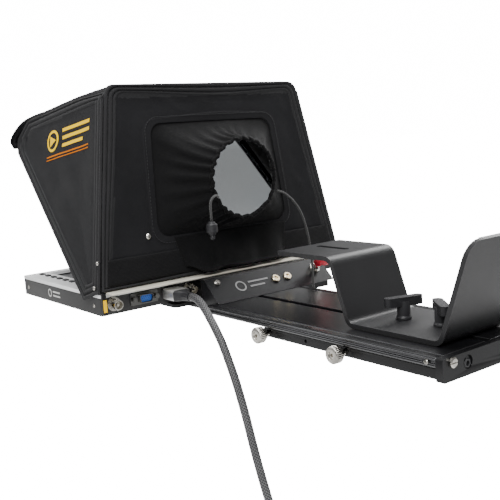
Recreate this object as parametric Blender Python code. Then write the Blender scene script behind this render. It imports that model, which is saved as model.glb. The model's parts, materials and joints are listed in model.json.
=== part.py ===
"""Camera-mounted teleprompter head: sliding base, camera riser, flat monitor, glass and fabric hood.

Metres, +Z up, +Y towards the presenter, +X to the operator's right.
The origin is the middle of the tripod plate's underside.
"""

import math

import bmesh
import bpy
from mathutils import Matrix, Vector

MM = 0.001
GAP = 0.3 * MM

# Driving dimensions of the base
TRIPOD_WIDTH = 112 * MM
TRIPOD_THICK = 10 * MM
TRIPOD_REAR, TRIPOD_FRONT = -100 * MM, 100 * MM
TONGUE_WIDTH, TONGUE_HIGH = 57 * MM, 2.4 * MM
PLATE_WIDTH = 123 * MM
PLATE_THICK = 8 * MM
PLATE_REAR, PLATE_FRONT = -100 * MM, 184 * MM
PLATE_BOTTOM = TRIPOD_THICK + GAP
PLATE_TOP = PLATE_BOTTOM + PLATE_THICK
GROOVE_HALF, GROOVE_DEEP = 3.5 * MM, 3.5 * MM
THUMB_Y = (-5 * MM, 92 * MM)
THUMB_HEAD_R, THUMB_HEAD_LONG, THUMB_SHAFT_R = 7.5 * MM, 10 * MM, 2.5 * MM
CAP_THICK = 6.3 * MM
CAP_SCREW_X, CAP_BOLT_X, CAP_BOLT_Z = 51 * MM, 33 * MM, 10.5 * MM

# Camera riser, a bent strip: its middle line's (y, z) from platform to rear leg, and the bend radii
RISER_WIDTH, RISER_THICK = 77 * MM, 4 * MM
RISER_LINE = ((-130 * MM, 54 * MM), (-197 * MM, 54 * MM), (-216 * MM, 0), (-311 * MM, 0),
              (-339 * MM, 79 * MM))
RISER_BENDS = (0, 9 * MM, 8 * MM, 8 * MM, 0)
RISER_SLOT_R, RISER_SLOT_Y = 3.3 * MM, (44 * MM, 84 * MM)
RISER_CORNER_R = 13 * MM
CUT_PAST = 9 * MM
T_SCREW_Y = (-18 * MM, -57 * MM)
T_SCREW_TURN = (-0.35, 0.9)
T_BAR = (34 * MM, 8.5 * MM, 7.5 * MM)
T_HUB_R, T_STEM_R = 5.5 * MM, 2.6 * MM
T_BAR_Z = 38 * MM

# Head bracket and release knob
BRACKET_LEFT, BRACKET_RIGHT = -52 * MM, 104 * MM
RAMP_FOOT = (-50 * MM, 0.3 * MM)
RAMP_TOP = (-27 * MM, 22.5 * MM)
SHELF_FRONT = 85 * MM
SHELF_TOP, SHELF_BOTTOM = -3.3 * MM, -8 * MM
RING_BOLT_X = (31 * MM, 47 * MM)
CORNER_SCREW_X = -40 * MM
KNOB_X = 86 * MM

# Monitor, lying flat with its screen up; its rear face is the plane y = MONITOR_REAR
MONITOR_REAR = 225 * MM
MONITOR_HALF, MONITOR_DEEP = 154 * MM, 190 * MM
MONITOR_BOTTOM, BEZEL_BOTTOM, MONITOR_TOP = 0.9 * MM, 18.3 * MM, 22 * MM
WALL = 2.5 * MM
SCREEN = (-127 * MM, 135 * MM, 14 * MM, 178 * MM)
BUTTON_X, BUTTON_FIRST_Y, BUTTON_PITCH, BUTTON_COUNT = -137 * MM, 82 * MM, 15.5 * MM, 7
BUTTON_SIZE = (5 * MM, 9 * MM)
BNC_X = (-141 * MM, -54 * MM)
VGA_X, DIGITAL_X = -107 * MM, -77 * MM
SOCKET_Z = 11.5 * MM

# Hinge of the glass frame, and the frame itself
HINGE_Y, HINGE_Z = 20 * MM, 28 * MM
GLASS_ANGLE = math.radians(45.5)
FRAME_LOW, FRAME_HIGH = -3 * MM, 197 * MM
FRAME_HALF_LOW, FRAME_HALF_HIGH = 148.7 * MM, 140.5 * MM
FRAME_THICK, FRAME_BORDER = 6 * MM, 10 * MM
GLASS_THICK = 3 * MM

# Hood
CLOTH = 2.2 * MM
HOOD_SIDE_X, HOOD_SIDE_PER_Z, HOOD_SIDE_PER_Y = 157 * MM, -0.1886, 0.0998
HOOD_BACK_Y, HOOD_BACK_PER_Z = -4 * MM, 0.1036
HOOD_BOTTOM, HOOD_TOP = 25 * MM, 218 * MM
WINDOW_LOW, WINDOW_HIGH = 68 * MM, 181 * MM
WINDOW_HALF_LOW, WINDOW_HALF_HIGH, WINDOW_R = 84 * MM, 76 * MM, 13 * MM
LENS_Z, LENS_R = 121 * MM, 38 * MM

# Video cable
CABLE_R, PLUG_LONG = 4 * MM, 47 * MM
COIL_R, COIL_TURNS, COIL_PITCH = 44 * MM, 3, 8.2 * MM
COIL_CENTRE = (-81 * MM, -112 * MM, -245 * MM)
CORD_R = 1.2 * MM


def rig(x, y, z):
    """A point measured from the monitor's rear face and the base's top face."""
    return Vector((x, y + MONITOR_REAR, z + PLATE_TOP))


HINGE = rig(0, HINGE_Y, HINGE_Z)


def clear_scene():
    for old in list(bpy.data.objects):
        bpy.data.objects.remove(old, do_unlink=True)


def material(name, colour, roughness, metallic=0.0, alpha=1.0):
    mat = bpy.data.materials.new(name)
    mat.use_nodes = True
    shader = mat.node_tree.nodes["Principled BSDF"]
    shader.inputs["Base Color"].default_value = (*colour, 1.0)
    shader.inputs["Roughness"].default_value = roughness
    shader.inputs["Metallic"].default_value = metallic
    shader.inputs["Alpha"].default_value = alpha
    return mat


def pivot(name, location):
    """An empty on a joint's axis; the pieces that turn together hang from it."""
    empty = bpy.data.objects.new(name, None)
    empty.location = location
    bpy.context.scene.collection.objects.link(empty)
    return empty


def place(name, bm, mat, origin=(0, 0, 0), parent=None):
    """Make the object of a mesh drawn in world coordinates, with its origin where it turns or slides."""
    origin = Vector(origin)
    bmesh.ops.recalc_face_normals(bm, faces=bm.faces)
    bmesh.ops.translate(bm, verts=bm.verts, vec=-origin)
    mesh = bpy.data.meshes.new(name)
    bm.to_mesh(mesh)
    bm.free()
    mesh.materials.append(mat)
    mesh.shade_smooth()
    mesh.set_sharp_from_angle(angle=math.radians(35))
    obj = bpy.data.objects.new(name, mesh)
    obj.location = origin
    bpy.context.scene.collection.objects.link(obj)
    if parent:
        obj.parent = parent
        obj.matrix_parent_inverse = Matrix.Translation(-parent.location)
    return obj


def cutter(name, bm):
    tool = place(name, bm, bpy.data.materials[0])
    tool.hide_render = True
    tool.display_type = "WIRE"
    return tool


def combine(obj, tool, operation):
    modifier = obj.modifiers.new(tool.name, "BOOLEAN")
    modifier.operation = operation
    modifier.solver = "EXACT"
    modifier.object = tool


def cut(obj, bm, label):
    combine(obj, cutter(f"{obj.name}_{label}", bm), "DIFFERENCE")


def join(obj, bm, label):
    combine(obj, cutter(f"{obj.name}_{label}", bm), "UNION")


def soften(obj, width, segments=2):
    modifier = obj.modifiers.new("soft_edges", "BEVEL")
    modifier.width = width
    modifier.segments = segments
    modifier.limit_method = "ANGLE"
    modifier.angle_limit = math.radians(40)


def axis_point(axis, along, first, second):
    """A point from its place along an axis and its two other coordinates in X, Y, Z order."""
    coords = [first, second]
    coords.insert("xyz".index(axis), along)
    return Vector(coords)


def prism(outline, axis, low, high, bm=None):
    """An outline of (first, second) pairs, run along an axis."""
    bm = bm or bmesh.new()
    ends = [[bm.verts.new(axis_point(axis, at, *p)) for p in outline] for at in (low, high)]
    bm.faces.new(ends[0])
    bm.faces.new(ends[1])
    for i in range(len(outline)):
        j = (i + 1) % len(outline)
        bm.faces.new((ends[0][i], ends[0][j], ends[1][j], ends[1][i]))
    return bm


def block(low, high, bm=None):
    outline = [(low[1], low[2]), (high[1], low[2]), (high[1], high[2]), (low[1], high[2])]
    return prism(outline, "x", low[0], high[0], bm)


def circle(radius, count, centre=(0, 0), start=0.0):
    turns = [start + math.tau * i / count for i in range(count)]
    return [(centre[0] + radius * math.cos(t), centre[1] + radius * math.sin(t)) for t in turns]


def rounded(outline, radius, steps=4):
    """Round every corner of a convex outline; radius is one value or one for each corner."""
    radii = radius if isinstance(radius, (list, tuple)) else [radius] * len(outline)
    result = []
    for i, corner in enumerate(outline):
        corner = Vector(corner)
        if radii[i] <= 0:
            result.append(tuple(corner))
            continue
        before = (Vector(outline[i - 1]) - corner).normalized()
        after = (Vector(outline[(i + 1) % len(outline)]) - corner).normalized()
        half = before.angle(after) / 2
        centre = corner + (before + after).normalized() * radii[i] / math.sin(half)
        first = corner + before * radii[i] / math.tan(half) - centre
        last = corner + after * radii[i] / math.tan(half) - centre
        for k in range(steps + 1):
            result.append(tuple(centre + first.slerp(last, k / steps) * radii[i]))
    return result


def even_loop(outline, count):
    """Points spread evenly round a closed outline."""
    corners = [Vector(p) for p in outline]
    ends = corners[1:] + corners[:1]
    lengths = [(b - a).length for a, b in zip(corners, ends)]
    result, i, passed = [], 0, 0.0
    for k in range(count):
        want = sum(lengths) * k / count
        while passed + lengths[i] < want:
            passed += lengths[i]
            i += 1
        result.append(tuple(corners[i].lerp(ends[i], (want - passed) / lengths[i])))
    return result


def rectangle(x_low, x_high, y_low, y_high):
    return [(x_low, y_low), (x_high, y_low), (x_high, y_high), (x_low, y_high)]


def turned(profile, base, direction, count=24, bm=None):
    """A profile of (distance along, radius) pairs turned about a line; radius 0 closes an end."""
    bm = bm or bmesh.new()
    direction = Vector(direction).normalized()
    side = direction.orthogonal().normalized()
    other = direction.cross(side)
    rings = []
    for along, radius in profile:
        middle = Vector(base) + direction * along
        if radius == 0:
            rings.append([bm.verts.new(middle)])
            continue
        ring = [bm.verts.new(middle + side * x + other * y) for x, y in circle(radius, count)]
        rings.append(ring)
    for one, two in zip(rings, rings[1:]):
        for i in range(count):
            j = (i + 1) % count
            quad = [one[i % len(one)], one[j % len(one)], two[j % len(two)], two[i % len(two)]]
            bm.faces.new(list(dict.fromkeys(quad)))
    for ring in (rings[0], rings[-1]):
        if len(ring) > 1:
            bm.faces.new(ring)
    return bm


def loft(loops, bm=None, closed=False):
    """Skin equal loops of points; open at the ends it is capped, closed it joins the last to the first."""
    bm = bm or bmesh.new()
    rings = [[bm.verts.new(p) for p in loop] for loop in loops]
    pairs = list(zip(rings, rings[1:])) + ([(rings[-1], rings[0])] if closed else [])
    for one, two in pairs:
        for i in range(len(one)):
            j = (i + 1) % len(one)
            bm.faces.new((one[i], one[j], two[j], two[i]))
    if not closed:
        bm.faces.new(rings[0])
        bm.faces.new(rings[-1])
    return bm


def sheet(outline, offset):
    """A flat outline in space given a thickness along an offset."""
    offset = Vector(offset)
    return loft([outline, [Vector(p) + offset for p in outline]])


def smooth_route(points, spacing):
    """Evenly spaced points on a smooth curve through hand-chosen ones."""
    dense = []
    padded = [2 * points[0] - points[1], *points, 2 * points[-1] - points[-2]]
    for a, b, c, d in zip(padded, padded[1:], padded[2:], padded[3:]):
        for k in range(20):
            t = k / 20
            dense.append(0.5 * (2 * b + (c - a) * t + (2 * a - 5 * b + 4 * c - d) * t**2
                                + (3 * b - a - 3 * c + d) * t**3))
    dense.append(points[-1])
    lengths = [0.0]
    for a, b in zip(dense, dense[1:]):
        lengths.append(lengths[-1] + (b - a).length)
    count = max(2, round(lengths[-1] / spacing))
    result = []
    for k in range(count + 1):
        want = lengths[-1] * k / count
        i = min(max(j for j, at in enumerate(lengths) if at <= want + 1e-9), len(dense) - 2)
        t = (want - lengths[i]) / (lengths[i + 1] - lengths[i])
        result.append(dense[i].lerp(dense[i + 1], t))
    return result


def tube(name, points, radius, sides, mat, parent=None):
    curve = bpy.data.curves.new(name, "CURVE")
    curve.dimensions = "3D"
    curve.bevel_depth = radius
    curve.bevel_resolution = sides
    curve.use_fill_caps = True
    spline = curve.splines.new("POLY")
    spline.points.add(len(points) - 1)
    for spot, p in zip(spline.points, points):
        spot.co = (*p, 1.0)
    curve.materials.append(mat)
    obj = bpy.data.objects.new(name, curve)
    bpy.context.scene.collection.objects.link(obj)
    if parent:
        obj.parent = parent
        obj.matrix_parent_inverse = Matrix.Translation(-parent.location)
    return obj


def make_tripod_plate(mats):
    half, tongue = TRIPOD_WIDTH / 2, TONGUE_WIDTH / 2
    side = [(half - 1 * MM, 0), (half, 1 * MM), (half, 8.2 * MM), (half - 1.8 * MM, TRIPOD_THICK),
            (tongue, TRIPOD_THICK), (tongue, TRIPOD_THICK + TONGUE_HIGH)]
    outline = side + [(-x, z) for x, z in reversed(side)]
    plate = place("tripod_plate", prism(outline, "y", TRIPOD_REAR, TRIPOD_FRONT), mats["black_metal"])
    holes = bmesh.new()
    for y, radius in ((30 * MM, 4.8 * MM), (-30 * MM, 3.2 * MM), (60 * MM, 3.2 * MM)):
        prism(circle(radius, 20, (0, y)), "z", -5 * MM, 7 * MM, holes)
    for y in THUMB_Y:
        hole = circle(THUMB_SHAFT_R + 0.3 * MM, 16, (y, TRIPOD_THICK / 2))
        prism(hole, "x", -half - 5 * MM, -half + 14 * MM, holes)
        prism(hole, "x", half - 14 * MM, half + 5 * MM, holes)
    middle = circle(1.6 * MM, 12, (sum(THUMB_Y) / 2, TRIPOD_THICK / 2))
    prism(middle, "x", -half - 5 * MM, -half + 6 * MM, holes)
    prism(middle, "x", half - 6 * MM, half + 5 * MM, holes)
    cut(plate, holes, "holes")


def make_thumbscrews(mats):
    """Knurled clamp screws whose tips press on the plate's tongue from both sides."""
    teeth = 20
    start = PLATE_WIDTH / 2 + 1 * MM
    for side, word in ((-1, "left"), (1, "right")):
        for y, end in zip(THUMB_Y, ("rear", "front")):
            base = Vector((side * (TRIPOD_WIDTH / 2 - 13.5 * MM), y, TRIPOD_THICK / 2))
            to_head = start - abs(base.x)
            screw = place(
                f"thumbscrew_{end}_{word}",
                turned([(0, THUMB_SHAFT_R), (to_head, THUMB_SHAFT_R), (to_head, 5 * MM),
                        (to_head + 1 * MM, 6 * MM), (to_head + 1 * MM, THUMB_HEAD_R),
                        (to_head + THUMB_HEAD_LONG - 0.8 * MM, THUMB_HEAD_R),
                        (to_head + THUMB_HEAD_LONG, THUMB_HEAD_R - 0.8 * MM)],
                       base, (side, 0, 0), 20),
                mats["steel"], base)
            notches = bmesh.new()
            head = sorted((side * (start + 0.5 * MM), side * (start + THUMB_HEAD_LONG + 1 * MM)))
            for cy, cz in circle(THUMB_HEAD_R + 0.4 * MM, teeth, (y, TRIPOD_THICK / 2)):
                prism(circle(0.9 * MM, 4, (cy, cz)), "x", *head, notches)
            outer = start + THUMB_HEAD_LONG
            socket = sorted((side * (outer - 3 * MM), side * (outer + 1 * MM)))
            prism(circle(2.6 * MM, 6, (y, TRIPOD_THICK / 2)), "x", *socket, notches)
            cut(screw, notches, "knurl")


def make_top_plate(mats):
    half, tongue = PLATE_WIDTH / 2, TONGUE_WIDTH / 2 + GAP
    low, high = PLATE_BOTTOM, PLATE_TOP
    roof = TRIPOD_THICK + TONGUE_HIGH + GAP
    right = [(tongue, roof), (tongue, low), (half - 1.5 * MM, low), (half, low + 1.5 * MM),
             (half, low + 3.2 * MM), (half - 1.5 * MM, low + 3.9 * MM), (half - 1.5 * MM, low + 5.2 * MM),
             (half, low + 5.9 * MM), (half, high - 1 * MM), (half - 1 * MM, high),
             (half - 8 * MM, high), (half - 8 * MM, high - 0.8 * MM), (half - 9.2 * MM, high - 0.8 * MM),
             (half - 9.2 * MM, high), (GROOVE_HALF, high), (GROOVE_HALF, high - GROOVE_DEEP)]
    outline = right + [(-x, z) for x, z in reversed(right)]
    plate = place("top_plate", prism(outline, "y", PLATE_REAR, PLATE_FRONT), mats["black_metal"])
    holes = bmesh.new()
    for side in (-1, 1):
        hole = circle(2.1 * MM, 12, (side * CAP_SCREW_X, PLATE_TOP - PLATE_THICK / 2))
        prism(hole, "y", PLATE_REAR - 1 * MM, PLATE_REAR + 9 * MM, holes)
    cut(plate, holes, "screw_holes")


def make_rear_cap(mats):
    half, front = PLATE_WIDTH / 2, PLATE_REAR - GAP
    rear = front - CAP_THICK
    corners = rounded(rectangle(-half, half, GAP, PLATE_TOP), 2 * MM, 2)
    cap = place("rear_end_cap", prism(corners, "y", rear, front), mats["black_metal"])
    holes = bmesh.new()
    screw_z = PLATE_TOP - PLATE_THICK / 2
    for side in (-1, 1):
        bolt = (side * CAP_BOLT_X, CAP_BOLT_Z)
        prism(circle(2.1 * MM, 12, (side * CAP_SCREW_X, screw_z)), "y", rear - 1 * MM, front + 1 * MM, holes)
        prism(circle(5.2 * MM, 20, bolt), "y", rear - 1 * MM, rear + 1.6 * MM, holes)
        prism(circle(3.2 * MM, 6, bolt), "y", rear + 1 * MM, front - 1 * MM, holes)
    cut(cap, holes, "holes")
    profile = [(0, 3 * MM), (0.8 * MM, 4 * MM), (2.3 * MM, 4 * MM), (2.3 * MM, 1.7 * MM), (16 * MM, 1.7 * MM)]
    for side, word in ((-1, "left"), (1, "right")):
        base = (side * CAP_SCREW_X, rear - 2.6 * MM, screw_z)
        screw = place(f"end_cap_screw_{word}", turned(profile, base, (0, 1, 0), 16), mats["steel"], base)
        slot = rectangle(base[0] - 4.5 * MM, base[0] + 4.5 * MM, base[2] - 0.6 * MM, base[2] + 0.6 * MM)
        cut(screw, prism(slot, "y", base[1] - 1 * MM, base[1] + 1 * MM), "slot")


def strip_outline(points, radii, thick):
    """The closed side outline of a bent strip, from its middle line and its bend radii."""
    middle = []
    for i, p in enumerate(points):
        if radii[i] == 0:
            middle.append(Vector(p))
            continue
        corner = Vector(p)
        before = (Vector(points[i - 1]) - corner).normalized()
        after = (Vector(points[i + 1]) - corner).normalized()
        half = before.angle(after) / 2
        centre = corner + (before + after).normalized() * radii[i] / math.sin(half)
        first = corner + before * radii[i] / math.tan(half) - centre
        last = corner + after * radii[i] / math.tan(half) - centre
        middle += [centre + first.slerp(last, k / 5) * radii[i] for k in range(6)]
    one_side, other_side = [], []
    for i, p in enumerate(middle):
        along = (middle[min(i + 1, len(middle) - 1)] - middle[max(i - 1, 0)]).normalized()
        normal = Vector((-along.y, along.x)) * thick / 2
        one_side.append(tuple(p + normal))
        other_side.append(tuple(p - normal))
    return one_side + other_side[::-1]


def make_riser(mats):
    """Platform, front leg, foot and rear leg in one bent strip."""
    lift = RISER_THICK / 2 + GAP
    points = [(y + MONITOR_REAR, z + PLATE_TOP + lift) for y, z in RISER_LINE]
    outline = strip_outline(points, RISER_BENDS, RISER_THICK)
    half = RISER_WIDTH / 2
    base = (0, T_SCREW_Y[0], PLATE_TOP + GAP)
    riser = place("camera_riser", prism(outline, "x", -half, half), mats["powder_coat"], base)
    corners = bmesh.new()
    end_y, end_z = points[-1]
    for side in (-1, 1):
        turns = [math.pi / 2 * k / 6 for k in range(7)]
        arc = [(side * (half - RISER_CORNER_R * (1 - math.sin(t))),
                end_z - RISER_CORNER_R * (1 - math.cos(t))) for t in turns]
        outside = [(side * (half + CUT_PAST), arc[-1][1]), (side * (half + CUT_PAST), end_z + CUT_PAST),
                   (arc[0][0], end_z + CUT_PAST)]
        prism(arc + outside, "y", end_y - 20 * MM, end_y + 30 * MM, corners)
    slot = rounded(rectangle(-RISER_SLOT_R, RISER_SLOT_R, *RISER_SLOT_Y), RISER_SLOT_R * 0.99)
    prism(slot, "z", points[0][1] - 9 * MM, points[0][1] + 9 * MM, corners)
    for y in T_SCREW_Y:
        prism(circle(T_STEM_R + 0.5 * MM, 16, (0, y)), "z", PLATE_TOP - 2 * MM, PLATE_TOP + 9 * MM, corners)
    cut(riser, corners, "corners_and_slots")


def make_t_screws(mats):
    """T-handle screws that clamp the riser's foot to the long groove."""
    tip = PLATE_TOP - GROOVE_DEEP + 0.6 * MM
    foot = PLATE_TOP + GAP + RISER_THICK + GAP - tip
    long, wide, high = T_BAR
    profile = [(0, T_STEM_R), (foot, T_STEM_R), (foot, 6.5 * MM), (foot + 1.5 * MM, 6.5 * MM),
               (foot + 3 * MM, T_HUB_R), (T_BAR_Z - tip, T_HUB_R)]
    bar = rounded(rectangle(-long / 2, long / 2, -wide / 2, wide / 2), wide * 0.45, 3)
    for y, turn, word in zip(T_SCREW_Y, T_SCREW_TURN, ("front", "rear")):
        base = Vector((0, y, tip))
        stem = turned(profile, base, (0, 0, 1), 16)
        knob = place(f"t_handle_screw_{word}", stem, mats["black_plastic"], base)
        c, s = math.cos(turn), math.sin(turn)
        spun = [(a * c - b * s, y + a * s + b * c) for a, b in bar]
        join(knob, prism(spun, "z", T_BAR_Z - high / 2, T_BAR_Z + high / 2), "bar")


def ramp_frame():
    """The ramp's direction up its slope, and its outward normal."""
    slope = Vector((0, RAMP_TOP[0] - RAMP_FOOT[0], RAMP_TOP[1] - RAMP_FOOT[1])).normalized()
    return slope, Vector((0, -slope.z, slope.y))


def ramp_point(x, share, lift=0.0):
    foot, top = rig(x, *RAMP_FOOT), rig(x, *RAMP_TOP)
    return foot.lerp(top, share) + ramp_frame()[1] * lift


def make_head_bracket(mats):
    """Wedge that carries the head: a sloping rear face, and a shelf in front of the base."""
    nose = PLATE_FRONT - MONITOR_REAR + GAP
    line = [RAMP_FOOT, (nose, RAMP_FOOT[1]), (nose, SHELF_BOTTOM), (SHELF_FRONT, SHELF_BOTTOM),
            (SHELF_FRONT, SHELF_TOP), (-21 * MM, SHELF_TOP), (-21 * MM, RAMP_TOP[1]), RAMP_TOP]
    outline = [(y + MONITOR_REAR, z + PLATE_TOP) for y, z in line]
    bracket = place("head_bracket", prism(outline, "x", BRACKET_LEFT, BRACKET_RIGHT), mats["black_metal"])
    holes = bmesh.new()
    normal = ramp_frame()[1]
    for x, share, radius in ([(x, 0.5, 2.7 * MM) for x in RING_BOLT_X] + [(CORNER_SCREW_X, 0.8, 2.0 * MM),
                                                                         (KNOB_X, 0.55, 3.2 * MM)]):
        turned([(-8 * MM, radius), (4 * MM, radius)], ramp_point(x, share), normal, 16, holes)
    cut(bracket, holes, "screw_holes")
    for x, word in zip(RING_BOLT_X, ("inner", "outer")):
        base = ramp_point(x, 0.5, GAP)
        profile = [(-7 * MM, 2.4 * MM), (0, 2.4 * MM), (0, 4.6 * MM), (1.4 * MM, 4.6 * MM), (2 * MM, 4 * MM),
                   (2 * MM, 2.4 * MM), (0.6 * MM, 2.2 * MM), (0.6 * MM, 0)]
        place(f"ring_bolt_{word}", turned(profile, base, normal, 20), mats["brass"], base)
    base = ramp_point(CORNER_SCREW_X, 0.8, GAP)
    place("bracket_screw", turned([(-6 * MM, 1.7 * MM), (0, 1.7 * MM), (0, 3.6 * MM), (1.2 * MM, 3.6 * MM),
                                   (2.4 * MM, 2.4 * MM)], base, normal, 16), mats["steel"], base)


def make_release_knob(mats):
    """Red pull knob of a spring plunger that locks the monitor cradle."""
    normal = ramp_frame()[1]
    base = ramp_point(KNOB_X, 0.55, GAP)
    barrel = turned([(-7.5 * MM, 2.9 * MM), (0, 2.9 * MM), (0, 6 * MM), (4 * MM, 6 * MM), (4 * MM, 4.3 * MM),
                     (7.5 * MM, 4.3 * MM)], base, normal, 12)
    place("plunger_barrel", barrel, mats["steel"], base)
    top = base + normal * (7.5 * MM + GAP)
    knob = [(0, 4.6 * MM), (3.5 * MM, 4.9 * MM), (6 * MM, 7 * MM), (8 * MM, 10.2 * MM), (10 * MM, 11 * MM),
            (13 * MM, 11 * MM), (14.6 * MM, 10.2 * MM), (15.2 * MM, 8.5 * MM)]
    place("release_knob", turned(knob, top, normal, 28), mats["red_plastic"], top)


def make_cradle(mats, head):
    low = rig(-80 * MM, -14 * MM, SHELF_TOP + GAP)
    high = rig(100 * MM, 150 * MM, MONITOR_BOTTOM - GAP)
    outline = rounded(rectangle(low.x, high.x, low.y, high.y), 6 * MM, 3)
    cradle = place("monitor_cradle", prism(outline, "z", low.z, high.z), mats["black_metal"], low, head)
    slots = bmesh.new()
    for x in (-58 * MM, 78 * MM):
        slot = rounded(rectangle(x - 3 * MM, x + 3 * MM, high.y - 50 * MM, high.y - 20 * MM), 2.9 * MM, 3)
        prism(slot, "z", low.z - 2 * MM, high.z + 2 * MM, slots)
    cut(cradle, slots, "slots")


def make_monitor_shell(mats, head):
    """Tray that holds the panel, with its sockets' openings along the rear wall."""
    low, high = rig(-MONITOR_HALF, 0, MONITOR_BOTTOM), rig(MONITOR_HALF, MONITOR_DEEP, BEZEL_BOTTOM - GAP)
    outline = rounded(rectangle(low.x, high.x, low.y, high.y), 2 * MM, 2)
    shell = place("monitor_rear_shell", prism(outline, "z", low.z, high.z), mats["black_plastic"], low, head)
    cut(shell, block(low + Vector((WALL, WALL, WALL)), high + Vector((-WALL, -WALL, 5 * MM))), "inside")
    holes = bmesh.new()
    rear, inside = low.y - 2 * MM, low.y + WALL + 1 * MM
    z = rig(0, 0, SOCKET_Z).z
    for x in BNC_X:
        prism(circle(5.1 * MM, 16, (x, z)), "y", rear, inside, holes)
    prism(rectangle(VGA_X - 8.6 * MM, VGA_X + 8.6 * MM, z - 4.6 * MM, z + 4.6 * MM), "y", rear, inside, holes)
    digital = rectangle(DIGITAL_X - 8 * MM, DIGITAL_X + 8 * MM, z - 3.4 * MM, z + 3.4 * MM)
    prism(digital, "y", rear, inside, holes)
    for row in range(6):
        y = low.y + (40 + 9 * row) * MM
        for x in (-130 * MM, 115 * MM):
            vent = rectangle(x - 14 * MM, x + 14 * MM, y, y + 3 * MM)
            prism(vent, "z", low.z - 1 * MM, low.z + WALL + 1 * MM, holes)
    cut(shell, holes, "openings")


def button_places():
    return [rig(BUTTON_X, BUTTON_FIRST_Y + BUTTON_PITCH * i, MONITOR_TOP) for i in range(BUTTON_COUNT)]


def make_bezel(mats, head):
    low, high = rig(-MONITOR_HALF, 0, BEZEL_BOTTOM), rig(MONITOR_HALF, MONITOR_DEEP, MONITOR_TOP)
    outline = rounded(rectangle(low.x, high.x, low.y, high.y), 2 * MM, 2)
    bezel = place("monitor_bezel", prism(outline, "z", low.z, high.z), mats["grey_gloss"], low, head)
    holes = bmesh.new()
    x_low, x_high, y_low, y_high = SCREEN
    through = (low.z - 1 * MM, high.z + 1 * MM)
    prism(rectangle(x_low, x_high, low.y + y_low, low.y + y_high), "z", *through, holes)
    wide, long = BUTTON_SIZE[0] / 2 + 0.4 * MM, BUTTON_SIZE[1] / 2 + 0.4 * MM
    for spot in button_places():
        prism(rectangle(spot.x - wide, spot.x + wide, spot.y - long, spot.y + long), "z", *through, holes)
    cut(bezel, holes, "screen_and_buttons")


def make_buttons(mats, head):
    wide, long = BUTTON_SIZE[0] / 2, BUTTON_SIZE[1] / 2
    for i, spot in enumerate(button_places()):
        outline = rounded(rectangle(spot.x - wide, spot.x + wide, spot.y - long, spot.y + long), 1.5 * MM, 2)
        place(f"menu_button_{i + 1}", prism(outline, "z", spot.z - 4.5 * MM, spot.z + 1 * MM),
              mats["black_plastic"], spot, head)


def make_monitor_inside(mats, head):
    x_low, x_high, y_low, y_high = SCREEN
    low = rig(x_low - 3 * MM, y_low - 4 * MM, 13.5 * MM)
    high = rig(x_high + 3 * MM, y_high + 4 * MM, BEZEL_BOTTOM - 0.6 * MM)
    place("lcd_panel", block(low, high), mats["screen"], low, head)
    low, high = rig(-128 * MM, 22 * MM, 4.5 * MM), rig(60 * MM, 120 * MM, 6.1 * MM)
    board = place("controller_board", block(low, high), mats["board"], low, head)
    chips = bmesh.new()
    for x, y, size in ((-90, 60, 12), (-40, 80, 9), (10, 50, 7)):
        middle = rig(x * MM, y * MM, 0)
        top = high.z + 2 * MM
        block((middle.x - size * MM, middle.y - size * MM, high.z - 0.5 * MM),
              (middle.x + size * MM, middle.y + size * MM, top), chips)
    join(board, chips, "chips")


def make_sockets(mats, head):
    profile = [(0, 4.7 * MM), (5.3 * MM, 4.7 * MM), (5.3 * MM, 7 * MM), (6.9 * MM, 7 * MM),
               (6.9 * MM, 4.8 * MM), (17 * MM, 4.8 * MM), (17 * MM, 4 * MM), (8 * MM, 4 * MM),
               (8 * MM, 1.2 * MM), (15 * MM, 1 * MM)]
    for x, word in zip(BNC_X, ("in", "out")):
        base = rig(x, 5 * MM, SOCKET_Z)
        place(f"bnc_socket_{word}", turned(profile, base, (0, -1, 0), 20), mats["steel"], base, head)
    make_vga(mats, head)
    base = rig(DIGITAL_X, 0, SOCKET_Z)
    body = rectangle(base.x - 7.7 * MM, base.x + 7.7 * MM, base.z - 3 * MM, base.z + 3 * MM)
    walls = prism(body, "y", base.y - 0.2 * MM, base.y + 9.6 * MM)
    shell = place("digital_socket", walls, mats["steel"], base, head)
    mouth = rectangle(base.x - 7.2 * MM, base.x + 7.2 * MM, base.z - 2.5 * MM, base.z + 2.5 * MM)
    cut(shell, prism(mouth, "y", base.y - 2 * MM, base.y + 8.8 * MM), "mouth")


def d_outline(centre, wide, high):
    """The D shape of a video socket, wider at its top."""
    x, z = centre
    low = wide - 1.6 * MM
    corners = [(x - low, z - high), (x + low, z - high), (x + wide, z + high), (x - wide, z + high)]
    return rounded(corners, 1.6 * MM, 2)


def make_vga(mats, head):
    base = rig(VGA_X, 0, SOCKET_Z)
    centre = (base.x, base.z)
    flange = rectangle(base.x - 15.5 * MM, base.x + 15.5 * MM, base.z - 6 * MM, base.z + 6 * MM)
    plate = prism(rounded(flange, 1 * MM, 1), "y", base.y - 1.4 * MM, base.y - GAP)
    shell = place("vga_shell", plate, mats["steel"], base, head)
    rims = prism(d_outline(centre, 8.2 * MM, 4.2 * MM), "y", base.y - 6.5 * MM, base.y - 0.8 * MM)
    for side in (-1, 1):
        post = (base.x + side * 12.5 * MM, base.z)
        prism(circle(2.7 * MM, 6, post), "y", base.y - 6 * MM, base.y - 0.7 * MM, rims)
    join(shell, rims, "rim_and_posts")
    cut(shell, prism(d_outline(centre, 7.6 * MM, 3.6 * MM), "y", base.y - 8 * MM, base.y + 2 * MM), "mouth")
    insert = prism(d_outline(centre, 7.2 * MM, 3.2 * MM), "y", base.y - 4.5 * MM, base.y + 4 * MM)
    place("vga_insert", insert, mats["blue_plastic"], base, head)


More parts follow.
